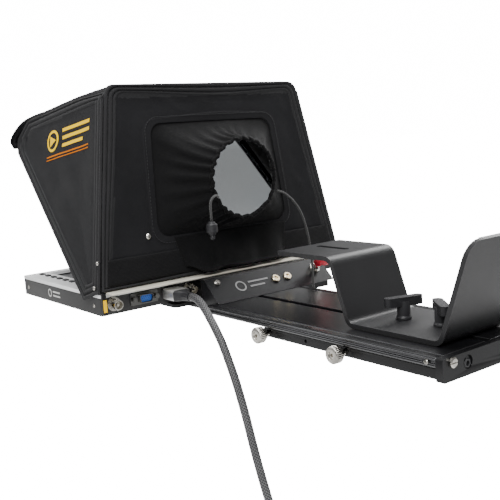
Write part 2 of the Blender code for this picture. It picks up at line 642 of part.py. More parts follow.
def make_hinges(mats, head, glass):
    """Ear-shaped brackets on the monitor's rear corners, their pins, and a yellow tab on each."""
    line = [(-3.3, 3), (-0.3, 3), (-0.3, 22.3), (34, 22.3), (34, 24.5), (28, 33), (20, 35.5), (13, 33),
            (8, 26), (2, 24.6), (-3.3, 23.8)]
    outline = [(MONITOR_REAR + y * MM, PLATE_TOP + z * MM) for y, z in line]
    pin = [(0, 1.5 * MM), (0.5 * MM, 2 * MM), (15.4 * MM, 2 * MM), (15.9 * MM, 1.5 * MM)]
    for side, word in ((-1, "left"), (1, "right")):
        inner, outer = sorted((side * 149.3 * MM, side * 153.6 * MM))
        ear = prism(outline, "x", inner, outer)
        bracket = place(f"hinge_bracket_{word}", ear, mats["black_metal"], HINGE, head)
        hole = prism(circle(2.4 * MM, 16, (HINGE.y, HINGE.z)), "x", inner - 1 * MM, outer + 1 * MM)
        cut(bracket, hole, "pin_hole")
        base = HINGE + Vector((side * 137.5 * MM, 0, 0))
        place(f"hinge_pin_{word}", turned(pin, base, (side, 0, 0), 16), mats["steel"], base, glass)
        low, high = rig(inner + 0.3 * MM, -4.4 * MM, 5 * MM), rig(outer - 0.3 * MM, -3.6 * MM, 17 * MM)
        place(f"release_tab_{word}", block(low, high), mats["yellow_plastic"], low, head)


def glass_point(x, along, lift):
    """A point on the glass frame: across, up its slope from the hinge, and off its face."""
    c, s = math.cos(GLASS_ANGLE), math.sin(GLASS_ANGLE)
    return HINGE + Vector((x, along * c - lift * s, along * s + lift * c))


def frame_half(along):
    share = (along - FRAME_LOW) / (FRAME_HIGH - FRAME_LOW)
    return FRAME_HALF_LOW + (FRAME_HALF_HIGH - FRAME_HALF_LOW) * share


def glass_outline(inset, lift):
    low, high = FRAME_LOW + inset, FRAME_HIGH - inset
    corners = [(-frame_half(low) + inset, low), (frame_half(low) - inset, low),
               (frame_half(high) - inset, high), (-frame_half(high) + inset, high)]
    return [glass_point(x, along, lift) for x, along in corners]


def make_glass(mats, glass):
    half = FRAME_THICK / 2
    above, lip = half + 2 * MM, half - 1.2 * MM
    seat = FRAME_BORDER - 3 * MM
    blank = loft([glass_outline(0, -half), glass_outline(0, half)])
    frame = place("glass_frame", blank, mats["black_metal"], HINGE, glass)
    cut(frame, loft([glass_outline(FRAME_BORDER, -above), glass_outline(FRAME_BORDER, above)]), "opening")
    cut(frame, loft([glass_outline(seat, -lip), glass_outline(seat, above)]), "rebate")
    holes = bmesh.new()
    for side in (-1, 1):
        ends = sorted((side * 137.2 * MM, side * 152 * MM))
        prism(circle(2.4 * MM, 16, (HINGE.y, HINGE.z)), "x", *ends, holes)
    cut(frame, holes, "pin_holes")
    inset = FRAME_BORDER - 2.5 * MM
    pane = loft([glass_outline(inset, -lip + GAP), glass_outline(inset, -lip + GAP + GLASS_THICK)])
    place("beamsplitter_glass", pane, mats["glass"], HINGE, glass)


def side_x(y, z):
    return HOOD_SIDE_X + HOOD_SIDE_PER_Z * (z - 20 * MM) + HOOD_SIDE_PER_Y * (y + 4 * MM)


def back_y(z):
    return HOOD_BACK_Y + HOOD_BACK_PER_Z * (z - 20 * MM)


def make_hood_sides(mats, glass):
    """Side panels: upright rear edge, sloping top, blunt front corner and an edge along the glass."""
    outline = [(back_y(HOOD_BOTTOM), HOOD_BOTTOM), (24 * MM, 15 * MM), (180 * MM, 161 * MM),
               (180 * MM, 175 * MM), (160 * MM, 193.5 * MM), (back_y(HOOD_TOP), HOOD_TOP)]
    for side, word in ((-1, "left"), (1, "right")):
        points = [rig(side * side_x(y, z), y, z) for y, z in outline]
        place(f"hood_side_{word}", sheet(points, (-side * CLOTH, 0, 0)), mats["nylon"], HINGE, glass)


def make_hood_back(mats, back):
    """Rear panel with its window, between the side panels."""
    def edge(z, side):
        folding_room = max(0.0, knee - z) * 0.055
        return side * (side_x(back_y(z), z) - CLOTH - 0.6 * MM - folding_room)

    top, knee = HOOD_TOP - 1 * MM, 85 * MM
    flat = [(edge(HOOD_BOTTOM, -1), HOOD_BOTTOM), (edge(HOOD_BOTTOM, 1), HOOD_BOTTOM), (edge(knee, 1), knee),
            (edge(top, 1), top), (edge(top, -1), top), (edge(knee, -1), knee)]
    outline = [rig(x, back_y(z), z) for x, z in rounded(flat, [0, 0, 0, 12 * MM, 12 * MM, 0], 4)]
    panel = place("hood_rear_panel", sheet(outline, (0, CLOTH, 0)), mats["nylon"], HINGE, back)
    window = [(x, z + PLATE_TOP) for x, z in window_outline(0)]
    cut(panel, prism(window, "y", MONITOR_REAR - 40 * MM, MONITOR_REAR + 60 * MM), "window")
    base = rig(-95 * MM, back_y(71 * MM) - GAP, 71 * MM)
    stud = [(0, 3 * MM), (0.8 * MM, 3 * MM), (1.8 * MM, 1.8 * MM), (2 * MM, 0)]
    place("hood_snap", turned(stud, base, (0, -1, HOOD_BACK_PER_Z), 16), mats["steel"], base, back)


def make_skirt(mats, back):
    """Loose cloth below the window: each station's height, distance off the panel and two ends."""
    loops = []
    for z, out, left, right in ((64, 3, -66, 80), (46, 7, -63, 77), (28, 13, -58, 72)):
        low = rig(left * MM, back_y(z * MM) - out * MM, z * MM)
        high = rig(right * MM, back_y(z * MM) - out * MM, z * MM)
        thick = Vector((0, CLOTH, 0))
        loops.append([low, high, high + thick, low + thick])
    place("shroud_skirt", loft(loops), mats["nylon"], HINGE, back)


def window_outline(inset):
    low, high = WINDOW_LOW + inset, WINDOW_HIGH - inset
    half_low, half_high = WINDOW_HALF_LOW - inset, WINDOW_HALF_HIGH - inset
    corners = [(-half_low, low), (half_low, low), (half_high, high), (-half_high, high)]
    return rounded(corners, WINDOW_R, 6)


def make_shroud(mats, back):
    """Drawn sleeve from the window to the lens."""
    start = [Vector((x, back_y(z), z)) for x, z in even_loop(window_outline(0.6 * MM), 52)]
    middle = Vector((0, 0, LENS_Z))

    def station(share, y, radius, skin):
        loop = []
        for p in start:
            flat = Vector((p.x, 0, p.z)) - middle
            ring = flat.normalized() * radius
            at = flat.lerp(ring, share)
            at = at * (1 - skin / at.length)
            loop.append(rig(at.x, p.y * (1 - share) + y, LENS_Z + at.z))
        return loop

    steps = [(0.0, 1.0 * MM), (0.35, -8 * MM), (0.7, -22 * MM), (1.0, -36 * MM)]
    mouth = LENS_R + 2 * MM
    outer = [station(s, y, mouth, 0.0) for s, y in steps]
    inner = [station(s, y, mouth, 2 * MM) for s, y in reversed(steps)]
    place("lens_shroud", loft(outer + inner, closed=True), mats["knit"], HINGE, back)


def make_hood_top(mats, glass):
    """Sloping top panel; its front edge turns down over the glass frame as a flared cuff."""
    line = [(12, 219.7, 119.9), (60, 212.3, 126.8), (110, 204.4, 133.6), (162, 196.2, 141),
            (174, 189, 146.5), (183.5, 179.5, 151), (186, 172.5, 152.5), (183, 165, 150.5)]
    stations = [Vector(p) * MM for p in line]
    loops = []
    for i, (y, z, half) in enumerate(stations):
        before, after = stations[max(i - 1, 0)], stations[min(i + 1, len(stations) - 1)]
        lift = Vector((0, before.y - after.y, after.x - before.x)).normalized() * CLOTH
        left, right = rig(-half, y, z), rig(half, y, z)
        loops.append([left, right, right + lift, left + lift])
    place("hood_top", loft(loops), mats["nylon"], HINGE, glass)


def make_rear_ledge(mats, head):
    low, high = rig(-149 * MM, -16 * MM, MONITOR_TOP + GAP), rig(149 * MM, 3 * MM, MONITOR_TOP + 2 * MM)
    ledge = place("rear_ledge", block(low, high), mats["pale_plastic"], low, head)
    soften(ledge, 0.5 * MM, 1)


def make_plug(name, base, out, side, mat, parent):
    """Video plug: metal tip, moulded body and tapered strain relief, one closed piece."""
    out, side = Vector(out), Vector(side)
    up = out.cross(side)

    def section(wide, high, at, corner):
        flat = rounded(rectangle(-wide / 2, wide / 2, -high / 2, high / 2), corner, 2)
        return [base + out * at + side * a + up * b for a, b in flat]

    body = [section(13.8 * MM, 4.3 * MM, 0, 1 * MM), section(13.8 * MM, 4.3 * MM, 9.5 * MM, 1 * MM),
            section(18 * MM, 9 * MM, 9.5 * MM, 2 * MM), section(20 * MM, 11 * MM, 11 * MM, 2.5 * MM),
            section(20 * MM, 11 * MM, 31 * MM, 2.5 * MM), section(12 * MM, 10 * MM, 36 * MM, 3 * MM),
            section(10.4 * MM, 10.4 * MM, 38 * MM, 4.9 * MM), section(9 * MM, 9 * MM, PLUG_LONG, 4.2 * MM)]
    return place(name, loft(body), mat, base, parent)


def cable_route():
    """Hand-chosen points from the plug's strain relief down to the coil."""
    line = [(-77, -39.8, 11.5), (-77, -47, 11.3), (-77.2, -55, 8.6), (-78, -63.5, 2.8), (-79, -73, -5),
            (-80, -83, -14.5), (-80.6, -92.5, -26), (-81, -101, -40), (-81, -109, -56), (-81, -116, -73),
            (-81, -122.5, -91), (-81, -128.5, -110), (-80.5, -134.5, -130), (-79.5, -140.5, -150),
            (-78, -146.5, -170), (-75.2, -152.5, -189), (-73.4, -155.5, -204), (-72.8, -156, -217.2)]
    return [rig(x * MM, y * MM, z * MM) for x, y, z in line]


def make_video_cable(mats, head):
    base = rig(DIGITAL_X, 8 * MM, SOCKET_Z)
    make_plug("digital_plug", base, (0, -1, 0), (1, 0, 0), mats["silver_plug"], head)
    route = cable_route()
    tube("digital_cable", smooth_route(route, 1.5 * 2 * CABLE_R), CABLE_R, 3, mats["braid"], head)
    centre = rig(*COIL_CENTRE)
    half = COIL_TURNS * COIL_PITCH / 2
    inner, outer = COIL_R - CABLE_R - 0.3 * MM, COIL_R + CABLE_R + 0.3 * MM
    loops = []
    for at, radius in ((-half, inner), (-half, outer), (half, outer), (half, inner)):
        loops.append([centre + Vector((at, y, z)) for y, z in circle(radius, 40)])
    place("digital_cable_coil", loft(loops, closed=True), mats["braid"], centre, head)
    plug_top = centre + Vector((-2 * COIL_PITCH, -COIL_R, -31 * MM))
    plug_tip = plug_top + Vector((0, 0, -PLUG_LONG))
    make_plug("digital_far_plug", plug_tip, (0, 0, 1), (1, 0, 0), mats["silver_plug"], head)
    band = centre + Vector((0, 0, COIL_R))
    wide, high, long = half + 2.2 * MM, CABLE_R + 2.2 * MM, 5 * MM
    outside = Vector((wide, long, high))
    tie = place("cable_tie", block(band - outside, band + outside), mats["nylon"], band, head)
    inside = Vector((half + 0.8 * MM, long * 2, CABLE_R + 1 * MM))
    cut(tie, block(band - inside, band + inside), "hole")


def cord_lock(name, mat, top, parent):
    """Barrel cord lock that hangs below its cord."""
    profile = [(0, 3.4 * MM), (1 * MM, 5.2 * MM), (10 * MM, 5.8 * MM), (11.4 * MM, 4.8 * MM),
               (11.4 * MM, 3.8 * MM), (17 * MM, 3.8 * MM), (18 * MM, 2.4 * MM)]
    return place(name, turned(profile, top, (0, 0, -1), 16), mat, top, parent)


def make_drawcords(mats, back):
    """The shroud's drawcord leaves it low on both sides: one long end hangs free, one short end."""
    long_line = [(38.5, -41, 104), (44, -46, 101), (51, -50.5, 93), (58, -54, 80), (63, -56, 62), (66, -57, 42),
                 (67, -57.5, 22), (67.3, -57.5, 2), (67.5, -57.5, -18), (67.5, -57.5, -38), (67.5, -57.5, -52)]
    route = [rig(x * MM, y * MM, z * MM) for x, y, z in long_line]
    tube("drawcord_long", smooth_route(route, 3 * 2 * CORD_R), CORD_R, 2, mats["cord"], back)
    cord_lock("cord_lock_long", mats["black_plastic"], route[-1] + Vector((0, 0, -GAP)), back)
    short_line = [(-37, -41, 105), (-42, -46, 107), (-48.5, -50.5, 107), (-53.5, -52.2, 103.5),
                  (-55, -52.5, 98), (-55, -52.5, 91), (-55, -52.5, 84)]
    route = [rig(x * MM, y * MM, z * MM) for x, y, z in short_line]
    tube("drawcord_short", smooth_route(route, 3 * 2 * CORD_R), CORD_R, 2, mats["cord"], back)
    cord_lock("cord_lock_short", mats["black_plastic"], route[-1] + Vector((0, 0, -2 * GAP)), back)


def make_materials():
    return {
        "black_metal": material("black_metal", (0.022, 0.022, 0.025), 0.35, 0.8),
        "powder_coat": material("powder_coat", (0.03, 0.03, 0.033), 0.55, 0.3),
        "steel": material("steel", (0.75, 0.74, 0.72), 0.25, 1.0),
        "brass": material("brass", (0.75, 0.62, 0.42), 0.3, 1.0),
        "black_plastic": material("black_plastic", (0.02, 0.02, 0.022), 0.45),
        "red_plastic": material("red_plastic", (0.42, 0.03, 0.05), 0.4),
        "yellow_plastic": material("yellow_plastic", (0.85, 0.6, 0.05), 0.5),
        "pale_plastic": material("pale_plastic", (0.72, 0.69, 0.6), 0.4),
        "blue_plastic": material("blue_plastic", (0.05, 0.16, 0.5), 0.45),
        "grey_gloss": material("grey_gloss", (0.3, 0.31, 0.31), 0.2),
        "screen": material("screen", (0.01, 0.01, 0.012), 0.1),
        "board": material("board", (0.02, 0.2, 0.08), 0.5),
        "glass": material("glass", (0.8, 0.85, 0.88), 0.02, 0.0, 0.3),
        "nylon": material("nylon", (0.03, 0.03, 0.033), 0.8),
        "knit": material("knit", (0.012, 0.012, 0.013), 0.9),
        "cord": material("cord", (0.02, 0.02, 0.02), 0.8),
        "braid": material("braid", (0.25, 0.25, 0.25), 0.6),
        "silver_plug": material("silver_plug", (0.6, 0.6, 0.6), 0.35, 0.7),
    }


def main():
    clear_scene()
    mats = make_materials()
    head = pivot("head_slide_origin", rig(0, 0, 0))
    glass = pivot("glass_hinge_axis", HINGE)
    back = pivot("hood_hinge_axis", HINGE)
    for build in (make_tripod_plate, make_thumbscrews, make_top_plate, make_rear_cap, make_riser, make_t_screws,
                  make_head_bracket, make_release_knob):
        build(mats)
    for build in (make_cradle, make_monitor_shell, make_bezel, make_buttons, make_monitor_inside, make_sockets,
                  make_rear_ledge, make_video_cable):
        build(mats, head)
    make_hinges(mats, head, glass)
    for build in (make_glass, make_hood_sides, make_hood_top):
        build(mats, glass)
    for build in (make_hood_back, make_skirt, make_shroud, make_drawcords):
        build(mats, back)


main()
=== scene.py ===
"""Looks of a camera-mounted teleprompter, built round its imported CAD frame.

Metres, +Z up, +Y towards the presenter, +X to the operator's right. Points written as
rig(x, y, z) are in millimetres from the monitor's rear face and the base's top face.
"""

import json
import math

import bmesh
import bpy
from mathutils import Matrix, Vector, noise


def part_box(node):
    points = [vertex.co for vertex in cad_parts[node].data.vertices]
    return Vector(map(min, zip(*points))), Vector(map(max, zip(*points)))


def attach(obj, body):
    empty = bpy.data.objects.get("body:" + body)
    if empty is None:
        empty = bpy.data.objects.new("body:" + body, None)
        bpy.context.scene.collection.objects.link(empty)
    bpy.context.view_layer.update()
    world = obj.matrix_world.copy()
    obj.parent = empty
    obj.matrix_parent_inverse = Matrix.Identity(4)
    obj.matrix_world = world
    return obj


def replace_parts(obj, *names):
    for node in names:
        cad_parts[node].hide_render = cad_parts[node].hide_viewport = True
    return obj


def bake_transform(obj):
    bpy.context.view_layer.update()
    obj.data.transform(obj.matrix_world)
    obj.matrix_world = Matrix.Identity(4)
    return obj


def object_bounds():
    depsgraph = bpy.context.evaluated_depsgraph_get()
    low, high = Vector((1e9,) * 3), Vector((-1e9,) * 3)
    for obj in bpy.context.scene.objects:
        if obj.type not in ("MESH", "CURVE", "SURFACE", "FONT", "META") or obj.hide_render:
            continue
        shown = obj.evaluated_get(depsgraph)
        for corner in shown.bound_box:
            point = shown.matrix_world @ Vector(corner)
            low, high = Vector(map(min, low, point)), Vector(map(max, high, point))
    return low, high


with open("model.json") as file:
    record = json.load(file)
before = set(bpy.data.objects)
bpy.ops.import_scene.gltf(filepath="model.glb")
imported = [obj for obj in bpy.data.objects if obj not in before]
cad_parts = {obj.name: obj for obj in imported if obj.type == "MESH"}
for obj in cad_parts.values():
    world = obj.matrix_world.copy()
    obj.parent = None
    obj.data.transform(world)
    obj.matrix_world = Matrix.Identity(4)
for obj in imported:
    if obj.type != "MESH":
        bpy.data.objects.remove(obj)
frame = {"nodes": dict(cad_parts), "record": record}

CAD_LOW, CAD_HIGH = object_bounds()
MM = 0.001
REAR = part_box("monitor_rear_shell")[0].y
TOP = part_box("top_plate")[1].z
NODE_BODY = {node: body for body, nodes in frame["record"]["behaviour"]["bodies"].items()
             for node in nodes}
NODE_SLOT = {s["node"]: s["material_slot"] for s in frame["record"]["subparts"]}

# Hood planes, in millimetres: the side's distance from the middle and the rear panel's y, both
# where z is 20, with their slopes
SIDE_X, SIDE_PER_Z, SIDE_PER_Y = 157.0, -0.1886, 0.0998
BACK_Y, BACK_PER_Z = -4.0, 0.1036
PLANE_Z = 20
HOOD_LOW, HOOD_HIGH = 25.0, 218.0
# The rear panel's top edge
PANEL_HIGH = HOOD_HIGH + 2.0
# The lens window: heights of its ends, half its width at each, and its corner radius
WINDOW_LOW, WINDOW_HIGH = 68.0, 181.0
WINDOW_HALF_LOW, WINDOW_HALF_HIGH = 84.0, 76.0
WINDOW_CORNER = 13.0
# The shroud's gathered mouth, the glass's hinge line, and half the monitor's width
LENS_Z, LENS_Y, MOUTH_R = 121.0, -36.0, 39.6
MONITOR_HALF = 154.0
BACKWARDS = Vector((0, -1, 0))
SIDES = ((-1, "left"), (1, "right"))

# Brightness of the plain surroundings, as the camera sees them
BACKDROP = 16.0

# Radii of the video cable and the drawcords, and the cable's stored coil
CABLE_R, CORD_R = 4.0, 1.2
COIL_CENTRE, COIL_R, COIL_PITCH, COIL_TURNS = (-81.0, -112.0, -245.0), 44.0, 8.2, 3


def rig(x, y, z):
    return Vector((x * MM, y * MM + REAR, z * MM + TOP))


def smoothstep(t):
    t = min(max(t, 0.0), 1.0)
    return t * t * (3 - 2 * t)


def uneven(x, y, z):
    """Smooth noise, from -1 to 1, that is the same on every run."""
    return noise.noise(Vector((x, y, z)))


def fill(node, **inputs):
    """Uniform values, straight on a node's sockets; spaces in their names are written _."""
    for key, value in inputs.items():
        node.inputs[key.replace("_", " ")].default_value = value
    return node


def link_object(name, data):
    obj = bpy.data.objects.new(name, data)
    bpy.context.scene.collection.objects.link(obj)
    return obj


# ---------------------------------------------------------------- materials


# Stretch of a noise along each axis
EVEN = (1, 1, 1)
LENGTHWISE = (1, 14, 1)


class Look:
    """A procedural material that is built up one effect at a time."""

    def __init__(self, name, colour, roughness, metallic=0.0):
        self.mat = bpy.data.materials.new(name)
        self.mat.use_nodes = True
        self.tree = self.mat.node_tree
        self.shader = self.tree.nodes["Principled BSDF"]
        self.set(Base_Color=(*colour, 1), Roughness=roughness, Metallic=metallic)
        self.colour, self.roughness = colour, roughness
        self.space = self.node("TexCoord").outputs["Object"]
        self.height = None

    def node(self, kind, settings=None, **inputs):
        """A node whose inputs are numbers or the outputs of others."""
        made = self.tree.nodes.new("ShaderNode" + kind)
        for key, value in (settings or {}).items():
            setattr(made, key, value)
        for key, value in inputs.items():
            if isinstance(value, bpy.types.NodeSocket):
                self.tree.links.new(value, made.inputs[key.replace("_", " ")])
            else:
                fill(made, **{key: value})
        return made

    def drive(self, name, output):
        self.tree.links.new(output, self.shader.inputs[name])
        return self

    def set(self, **inputs):
        fill(self.shader, **inputs)
        return self

    def cloth_space(self):
        """Use the flat cloth's own coordinates, in metres, which fold with it."""
        self.space = self.node("Attribute", {"attribute_name": "cloth"}).outputs["Vector"]
        return self

    def stretched(self, stretch):
        if stretch == EVEN:
            return self.space
        return self.node("Mapping", Vector=self.space, Scale=stretch).outputs["Vector"]

    def noise(self, scale, detail=3.0, stretch=EVEN):
        space = self.stretched(stretch)
        return self.node("TexNoise", Scale=scale, Detail=detail, Vector=space).outputs["Fac"]

    def wave(self, pitch, axis, distortion=0.0, stretch=EVEN):
        """Bands a pitch apart, in millimetres, across an axis."""
        return self.node("TexWave", {"bands_direction": axis}, Scale=math.pi / 10 / (pitch * MM),
                         Distortion=distortion, Vector=self.stretched(stretch)).outputs["Fac"]

    def crossed(self, pitch):
        """Two sets of slanting bands that cross."""
        return [self.wave(pitch, "DIAGONAL", stretch=(1, way, 0)) for way in (1, -1)]

    def math(self, operation, first, second):
        made = self.node("Math", {"operation": operation})
        for socket, output in zip(made.inputs, (first, second)):
            self.tree.links.new(output, socket)
        return made.outputs[0]

    def ramp(self, fac, low, high, start, end):
        """fac turned into a value from low to high between start and end."""
        return self.node("MapRange", Value=fac, From_Min=start, From_Max=end, To_Min=low,
                         To_Max=high).outputs["Result"]

    def tint(self, fac, other, start=0.35, end=0.65, amount=1.0):
        """Mix another colour in where fac is high."""
        base = self.shader.inputs["Base Color"]
        under = base.links[0].from_socket if base.is_linked else (*self.colour, 1)
        mix = self.node("Mix", {"data_type": "RGBA"}, A=under, B=(*other, 1),
                        Factor=self.ramp(fac, 0.0, amount, start, end))
        return self.drive("Base Color", mix.outputs["Result"])

    def rough(self, fac, spread, start=0.35, end=0.65):
        low, high = max(self.roughness - spread, 0.02), min(self.roughness + spread, 1.0)
        return self.drive("Roughness", self.ramp(fac, low, high, start, end))

    def bump(self, fac, depth):
        """Relief of a depth in millimetres; later calls add to earlier ones."""
        below = {"Normal": self.height} if self.height else {}
        made = self.node("Bump", Distance=depth * MM, Height=fac, **below)
        self.height = made.outputs["Normal"]
        return self.drive("Normal", self.height)


def brighter(colour, share):
    return tuple(min(1.0, c * share + 0.002) for c in colour)


def metal_look(name, colour, roughness, metallic, depth, grain=EVEN):
    """Machined or coated metal: fine grain, faint streaks and a little handling haze."""
    look = Look(name, colour, roughness, metallic)
    streaks = look.noise(900.0, 4.0, grain)
    haze = look.noise(18.0, 2.0)
    look.tint(haze, brighter(colour, 1.3), 0.35, 0.75, 0.6)
    look.rough(haze, roughness * 0.1, 0.2, 0.8)
    look.set(Specular_IOR_Level=0.26)
    return look.bump(streaks, depth)


def plastic_look(name, colour, roughness, grain=1400.0, depth=0.02):
    """Moulded plastic: fine spark texture and slightly uneven gloss."""
    look = Look(name, colour, roughness)
    haze = look.noise(60.0, 3.0)
    look.tint(haze, brighter(colour, 1.2), 0.4, 0.7, 0.5)
    look.rough(haze, 0.05)
    look.set(Specular_IOR_Level=0.35)
    return look.bump(look.noise(grain, 2.0), depth)


def nylon_look(name, colour, lighter, pitch=0.75, depth=0.1):
    """Plain-woven nylon: crossed threads, slubs, and a soft sheen where it is rubbed."""
    look = Look(name, colour, 0.72).cloth_space()
    threads = look.math("MULTIPLY", look.wave(pitch, "X", 0.4), look.wave(pitch, "Y", 0.4))
    slubs = look.noise(260.0, 2.0, (1, 6, 1))
    rubbed = look.noise(14.0, 4.0)
    look.tint(threads, lighter, 0.1, 0.8, 0.55)
    look.tint(rubbed, lighter, 0.45, 0.75, 0.5)
    look.rough(rubbed, 0.08)
    look.bump(rubbed, 0.5).bump(slubs, 0.05).bump(threads, depth)
    return look.set(Sheen_Weight=0.035, Sheen_Roughness=0.45, Specular_IOR_Level=0.13)


def braid_look():
    """Expanding braid over a video lead: pale and dark yarns crossing on the slant."""
    look = Look("braid_grey", (0.10, 0.10, 0.104), 0.42).cloth_space()
    yarns = look.crossed(1.5)
    crossing, dark = look.math("MAXIMUM", *yarns), look.math("MULTIPLY", *yarns)
    look.tint(look.noise(40.0), (0.19, 0.19, 0.19), 0.4, 0.7, 0.5)
    look.tint(dark, (0.006, 0.006, 0.007), 0.08, 0.22)
    look.tint(look.wave(0.4, "X"), (0.07, 0.07, 0.07), 0.5, 1.0, 0.3)
    return look.bump(crossing, 0.3)


def cord_look():
    look = Look("cord_black", (0.02, 0.02, 0.02), 0.7).cloth_space()
    weave = look.math("MULTIPLY", *look.crossed(1.3))
    look.tint(weave, (0.06, 0.06, 0.06), 0.2, 0.7, 0.8)
    return look.bump(weave, 0.2).set(Sheen_Weight=0.2)


def glass_look():
    look = Look("beamsplitter_coat", (0.86, 0.9, 0.92), 0.03)
    look.rough(look.noise(30.0, 3.0), 0.02)
    look.tint(look.noise(9.0, 2.0), (0.80, 0.86, 0.90), 0.4, 0.7)
    return look.set(Transmission_Weight=0.92, IOR=1.5)


def screen_look():
    look = Look("screen_dark", (0.006, 0.006, 0.008), 0.12)
    look.tint(look.noise(8.0), (0.012, 0.013, 0.017), 0.4, 0.7)
    look.rough(look.noise(50.0), 0.03)
    return look.bump(look.noise(2600.0, 1.0), 0.004)


def board_look():
    look = Look("circuit_green", (0.012, 0.13, 0.05), 0.4)
    tracks = look.math("MAXIMUM", look.wave(3.1, "X", 1.5), look.wave(4.3, "Y", 1.5))
    look.tint(tracks, (0.03, 0.26, 0.10), 0.9, 0.97)
    return look.bump(tracks, 0.03)


def print_look(name, colour):
    """Matt ink or pigmented plastic, with hardly any shine to wash its colour out."""
    return plastic_look(name, colour, 0.7).set(Specular_IOR_Level=0.06)


def knurl_look(name, colour):
    """Bright plating with dirt in its grip."""
    look = metal_look(name, colour, 0.2, 1.0, 0.015)
    return look.tint(look.noise(120.0, 4.0), tuple(c * 0.4 for c in colour), 0.45, 0.7, 0.8)


def make_looks():
    """Every look by its key; a key that is a material slot is that slot's own look."""
    made = {
        "black_anodised": metal_look("anodised_black", (0.008, 0.008, 0.009), 0.30, 0.1, 0.008,
                                     LENGTHWISE),
        # A lighter, more metallic copy of the black anodising for rounded edges: a painted
        # highlight
        "anodised_edge_highlight": metal_look("anodised_edge_highlight", (0.11, 0.11, 0.115), 0.24, 0.8, 0.006,
                                    LENGTHWISE),
        "powder_coat": metal_look("powder_black", (0.012, 0.012, 0.013), 0.42, 0.0, 0.04)
                       .set(Specular_IOR_Level=0.42),
        # A lighter copy of the powder coat for the riser's rounded edges: a painted highlight
        "powder_edge_highlight": metal_look("powder_edge_highlight", (0.07, 0.07, 0.075), 0.32, 0.4, 0.02),
        "steel": knurl_look("nickel_plate", (0.52, 0.50, 0.46)),
        "dark_steel": metal_look("steel_dark", (0.13, 0.13, 0.125), 0.34, 0.9, 0.01),
        "brass": metal_look("brass_pale", (0.72, 0.62, 0.45), 0.3, 1.0, 0.01),
        "black_plastic": plastic_look("plastic_black", (0.018, 0.018, 0.02), 0.42),
        "monitor_case": metal_look("case_paint", (0.034, 0.034, 0.034), 0.36, 0.0, 0.03),
        # Near white: grey plastic lightened to stand in for the glare on its glossy top, a painted
        # reflection
        "bezel": plastic_look("bezel_painted_glare", (0.90, 0.91, 0.91), 0.2, 1800.0, 0.004),
        "screen": screen_look(),
        "board": board_look(),
        "red_plastic": plastic_look("knob_red", (0.46, 0.012, 0.03), 0.34),
        "yellow_plastic": print_look("tab_yellow", (1.0, 0.56, 0.0)),
        "pale_plastic": plastic_look("ledge_pale", (0.62, 0.59, 0.50), 0.35),
        "blue_plastic": plastic_look("insert_blue", (0.03, 0.12, 0.48), 0.4),
        "beamsplitter": glass_look(),
        "nylon": nylon_look("nylon_black", (0.0085, 0.0085, 0.0095), (0.02, 0.02, 0.022)),
        # The binding tape: finer weave, lighter and shinier; its lighter colour is partly a painted
        # highlight on the ribs
        "nylon_fine": nylon_look("nylon_binding_highlight", (0.011, 0.011, 0.012), (0.03, 0.03, 0.032), 0.5,
                                 0.08).set(Specular_IOR_Level=0.26),
        # Much darker than the nylon, laid over the rear panel's foot as painted shadow
        "pile": nylon_look("painted_shadow_cloth", (0.004, 0.004, 0.0045), (0.012, 0.012, 0.013), 1.3, 0.35),
        "shroud_cloth": nylon_look("stretch_black", (0.0025, 0.0025, 0.0028),
                                   (0.006, 0.006, 0.0065), 0.6, 0.12),
        "thread": plastic_look("thread_black", (0.03, 0.03, 0.032), 0.6),
        "cord": cord_look(),
        "cable_braid": braid_look(),
        "silver_plug": metal_look("plug_silver", (0.52, 0.52, 0.52), 0.3, 0.85, 0.01),
        "print_yellow": print_look("print_yellow", (1.0, 0.60, 0.0)),
        "print_orange": print_look("print_orange", (0.55, 0.15, 0.0)),
        "print_white": print_look("print_white", (0.62, 0.62, 0.60)),
        "print_grey": print_look("print_grey", (0.24, 0.24, 0.24)),
    }
    return {key: look.mat for key, look in made.items()}


LOOKS = make_looks()


# ---------------------------------------------------------------- mesh helpers


def new_object(name, mesh, look, body=None, slot=None):
    obj = link_object(name, mesh)
    for key in (look if isinstance(look, list) else [look]):
        mesh.materials.append(LOOKS[key])
    if body:
        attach(obj, body)
    return obj if slot else obj


def finish_mesh(bm, name, angle=35.0):
    """A mesh with its normals outwards, smooth but for edges sharper than the angle."""
    bmesh.ops.recalc_face_normals(bm, faces=bm.faces)
    mesh = bpy.data.meshes.new(name)
    bm.to_mesh(mesh)
    bm.free()
    mesh.shade_smooth()
    mesh.set_sharp_from_angle(angle=math.radians(angle))
    return mesh


def fitting(name, bm, look, body, slot=None, angle=35.0):
    """A finished piece on a body; the slot is not used."""
    return new_object(name, finish_mesh(bm, name, angle), look, body, slot or look)


def place(obj, body, slot, *nodes):
    """Ride a body, in place of any CAD nodes named; the slot is not used."""
    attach(obj, body)
    if nodes:
        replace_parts(obj, *nodes)
    return obj


def centre_of(node):
    low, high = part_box(node)
    return (low + high) / 2


# Depth of a flute at each of its four points
FLUTE_SHAPE = (1.0, 0.5, 0.0, 0.5)


def circle(radius, count, centre=(0.0, 0.0)):
    turn = 2 * math.pi / count
    return [(centre[0] + radius * math.cos(turn * i), centre[1] + radius * math.sin(turn * i))
            for i in range(count)]


def join_rings(bm, rings, wrap=True, caps=True):
    """Faces between neighbouring rings of vertices; a ring of one vertex is a tip."""
    for one, two in zip(rings, rings[1:]):
        count = max(len(one), len(two))
        for i in range(count if wrap else count - 1):
            j = (i + 1) % count
            quad = [one[i % len(one)], one[j % len(one)], two[j % len(two)], two[i % len(two)]]
            bm.faces.new(list(dict.fromkeys(quad)))
    for ring in (rings[0], rings[-1]) if caps else ():
        if len(ring) > 1:
            bm.faces.new(ring)


def square_to(direction):
    """Two directions square to this one and to each other."""
    side = direction.orthogonal().normalized()
    return side, direction.cross(side)


